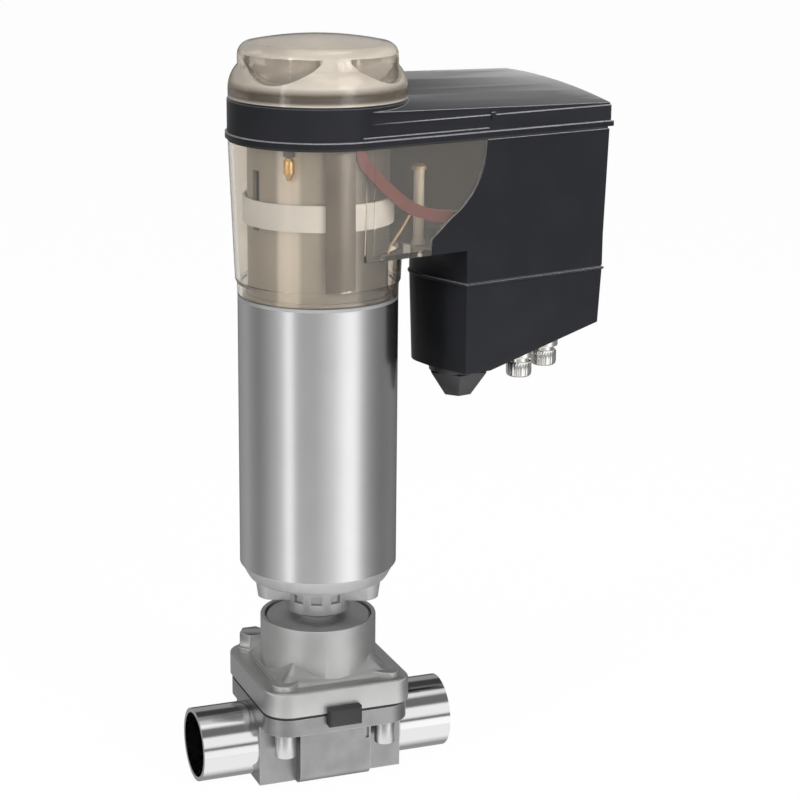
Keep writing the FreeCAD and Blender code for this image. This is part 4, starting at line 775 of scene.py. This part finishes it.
# The bonnet's plan and heights, from its seat on the diaphragm. The plinth and the flank above it rise
# towards the corners, where they form ridges.
BONNET_SEAT = 21.2
FLANGE_HALF = 34.15
FLANGE_TOP = 11.4
FRONT_CORNER, OTHER_CORNER = 12.0, 8.5
PLINTH_HALF, PLINTH_CORNER = 27.2, 3.5
PLINTH_TOP, PLINTH_RISE = 12.9, 0.5
FLANK_TOP, FLANK_RISE = 13.4, 6.5
CUP_RADIUS = 26.5
BONNET_STEPS = 160
FLANGE_PROFILE = [(FLANGE_HALF, 0.0), (FLANGE_HALF, 9.9), (33.9, 10.7), (33.4, 11.2), (32.8, FLANGE_TOP)]
CUP_PROFILE = [(CUP_RADIUS, 35.3), (26.3, 35.8), (25.9, 36.0), (24.9, 36.0), (24.5, 35.7), (24.4, 35.2), (24.4, 25.0),
               (12.5, 25.0), (12.5, 29.0), (7.0, 29.0), (7.0, 17.0), (5.4, 17.0), (5.4, 17.4), (15.0, 17.4),
               (18.0, 14.4), (18.0, 3.0), (19.0, 2.0), (19.0, 0.0)]
BOSS_HALF = [(22, 5.6), (36.4, 5.6), (39.2, 4.4), (40.4, 2.6), (40.8, 0)]
BOSS_LOW, BOSS_HIGH = 6.0, 13.8


def bonnet_row(way):
    """The bonnet's outline in one direction, as radii and heights: flange, plinth, flank, cup and inside."""
    corner = FRONT_CORNER if way.x < 0 and way.y < 0 else OTHER_CORNER
    row = [(square_reach(way, half, corner - FLANGE_HALF + half), height) for half, height in FLANGE_PROFILE]
    farthest = square_reach(Vector((1, 1)).normalized(), PLINTH_HALF, PLINTH_CORNER)
    reach = square_reach(way, PLINTH_HALF, PLINTH_CORNER)
    share = (reach - PLINTH_HALF) / (farthest - PLINTH_HALF)
    top = PLINTH_TOP + PLINTH_RISE * share
    cup_start = FLANK_TOP + FLANK_RISE * share
    row += [(reach + 0.5, FLANGE_TOP), (reach + 0.1, FLANGE_TOP + 0.4), (reach, top - 0.5), (reach - 0.5, top)]
    for part in (0.25, 0.5, 0.75, 1.0):
        rise = 0.6 * part + 0.4 * part ** 3
        row.append((reach - 0.5 + (CUP_RADIUS - reach + 0.5) * part, top + (cup_start - top) * rise))
    return row + CUP_PROFILE


def bonnet():
    """The bonnet: a square flange, a square plinth whose ridges run out to the bosses, and the open cup."""
    form = bmesh.new()
    columns = []
    for step in range(BONNET_STEPS):
        angle = math.tau * step / BONNET_STEPS
        way = Vector((math.cos(angle), math.sin(angle)))
        columns.append([form.verts.new((SPINDLE_X_MM + way.x * radius, way.y * radius, BONNET_SEAT + height))
                        for radius, height in bonnet_row(way)])
    for column, following in zip(columns, columns[1:] + columns[:1]):
        for index in range(len(column)):
            form.faces.new((column[index - 1], following[index - 1], following[index], column[index]))
    boss_plan = [(x, -y) for x, y in BOSS_HALF] + [(x, y) for x, y in BOSS_HALF[-2::-1]]
    for quarter in range(4):
        boss = soften(slab(boss_plan, BOSS_LOW, BOSS_HIGH), 0.5, segments=3)
        turn = Matrix.Rotation(math.radians(45 + 90 * quarter), 4, "Z")
        join(form, boss, Matrix.Translation((SPINDLE_X_MM, 0, BONNET_SEAT)) @ turn)
    return form


# The neck and wings are clocked as the photograph shows them. They end below the ring and inside its edge.
WING_TURN = math.radians(-21.6)
WING_TOP = 76.6
WING_REACH = 31.4


def turn_wings(form):
    """Clocks the neck and its wings below the actuator base's ring."""
    lower = [point for point in form.verts
             if point.co.z < WING_TOP and math.hypot(point.co.x - SPINDLE_X_MM, point.co.y) < WING_REACH]
    bmesh.ops.rotate(form, cent=(SPINDLE_X_MM, 0, 0), matrix=Matrix.Rotation(WING_TURN, 3, "Z"), verts=lower)


# The union nut's rim starts outside this radius, and grows by this share.
UNION_RIM = 20
UNION_GROWTH = 0.062


def fill_cup(form):
    """Widens the union nut's rim until it almost meets the cup's wall, as in the photograph."""
    for point in form.verts:
        outward = Vector((point.co.x - SPINDLE_X_MM, point.co.y, 0))
        if outward.length > UNION_RIM:
            point.co += UNION_GROWTH * outward


def widen_gland(form, factor=1.12):
    """Scales the gland nut in its plan, about the middle of that plan."""
    middle = Vector([(min(point.co[axis] for point in form.verts) + max(point.co[axis] for point in form.verts)) / 2
                     for axis in range(2)] + [0.0])
    bmesh.ops.scale(form, vec=(factor, factor, 1), space=Matrix.Translation(-middle), verts=form.verts)


# The sockets stand in a row on the tray's underside, in millimetres along and across the head.
SOCKETS = {"power_socket": 93.5, "signal_socket": 107.7}
SOCKETS_ACROSS = -25.0
SOCKET_PROFILE = [(3.5, -12.6), (4.1, -13.1), (5.0, -13.0), (5.7, -12.3), (5.9, -11.2), (5.9, -6.6), (5.5, -6.0),
                  (4.7, -5.7), (4.7, -4.2), (6.2, -4.0), (6.5, -3.6), (6.5, -0.4), (6.2, 0.0), (4.1, 0.0), (4.1, 8.0),
                  (3.5, 8.0)]
KNURL_COUNT = 24
KNURL_DEPTH = 0.045
KNURL_LOW, KNURL_HIGH, KNURL_RADIUS = -11.5, -6.3, 5.6


def socket(node):
    """A round socket with a knurled coupling ring and a soft-edged mouth."""
    form = lathe(SOCKET_PROFILE, steps=96)
    for point in form.verts:
        if KNURL_LOW < point.co.z < KNURL_HIGH and math.hypot(point.co.x, point.co.y) > KNURL_RADIUS:
            angle = math.atan2(point.co.y, point.co.x)
            depth = 1 - KNURL_DEPTH * (0.5 + 0.5 * math.cos(angle * KNURL_COUNT))
            point.co.x *= depth
            point.co.y *= depth
    seat = max(vertex.co.z for vertex in NODES[node].data.vertices) / MM - SOCKET_PROFILE[-1][1]
    head = Matrix.Translation((SPINDLE_X_MM, 0, 0)) @ Matrix.Rotation(HEAD_TURN, 4, "Z")
    place = head @ Matrix.Translation((SOCKETS[node], SOCKETS_ACROSS, seat))
    bmesh.ops.transform(form, matrix=place, verts=form.verts)
    return form


RESHAPED = {"actuator_base": turn_wings, "gland_nut": widen_gland, "union_nut": fill_cup}


def build_pieces():
    """The forms that stand in for their CAD nodes."""
    piece("box_tray_eased", tray(), "box_tray")
    for node in SOCKETS:
        piece(node + "_form", socket(node), node)
    piece("bonnet_form", bonnet(), "bonnet")
    for node in EASED:
        if node != "box_tray":
            form = eased(node)
            if node in RESHAPED:
                RESHAPED[node](form)
            piece(node + "_eased", form, node)


scene.view_settings.view_transform = "Standard"
studio_world()
floor()
lights()
dress_nodes()
build_pieces()
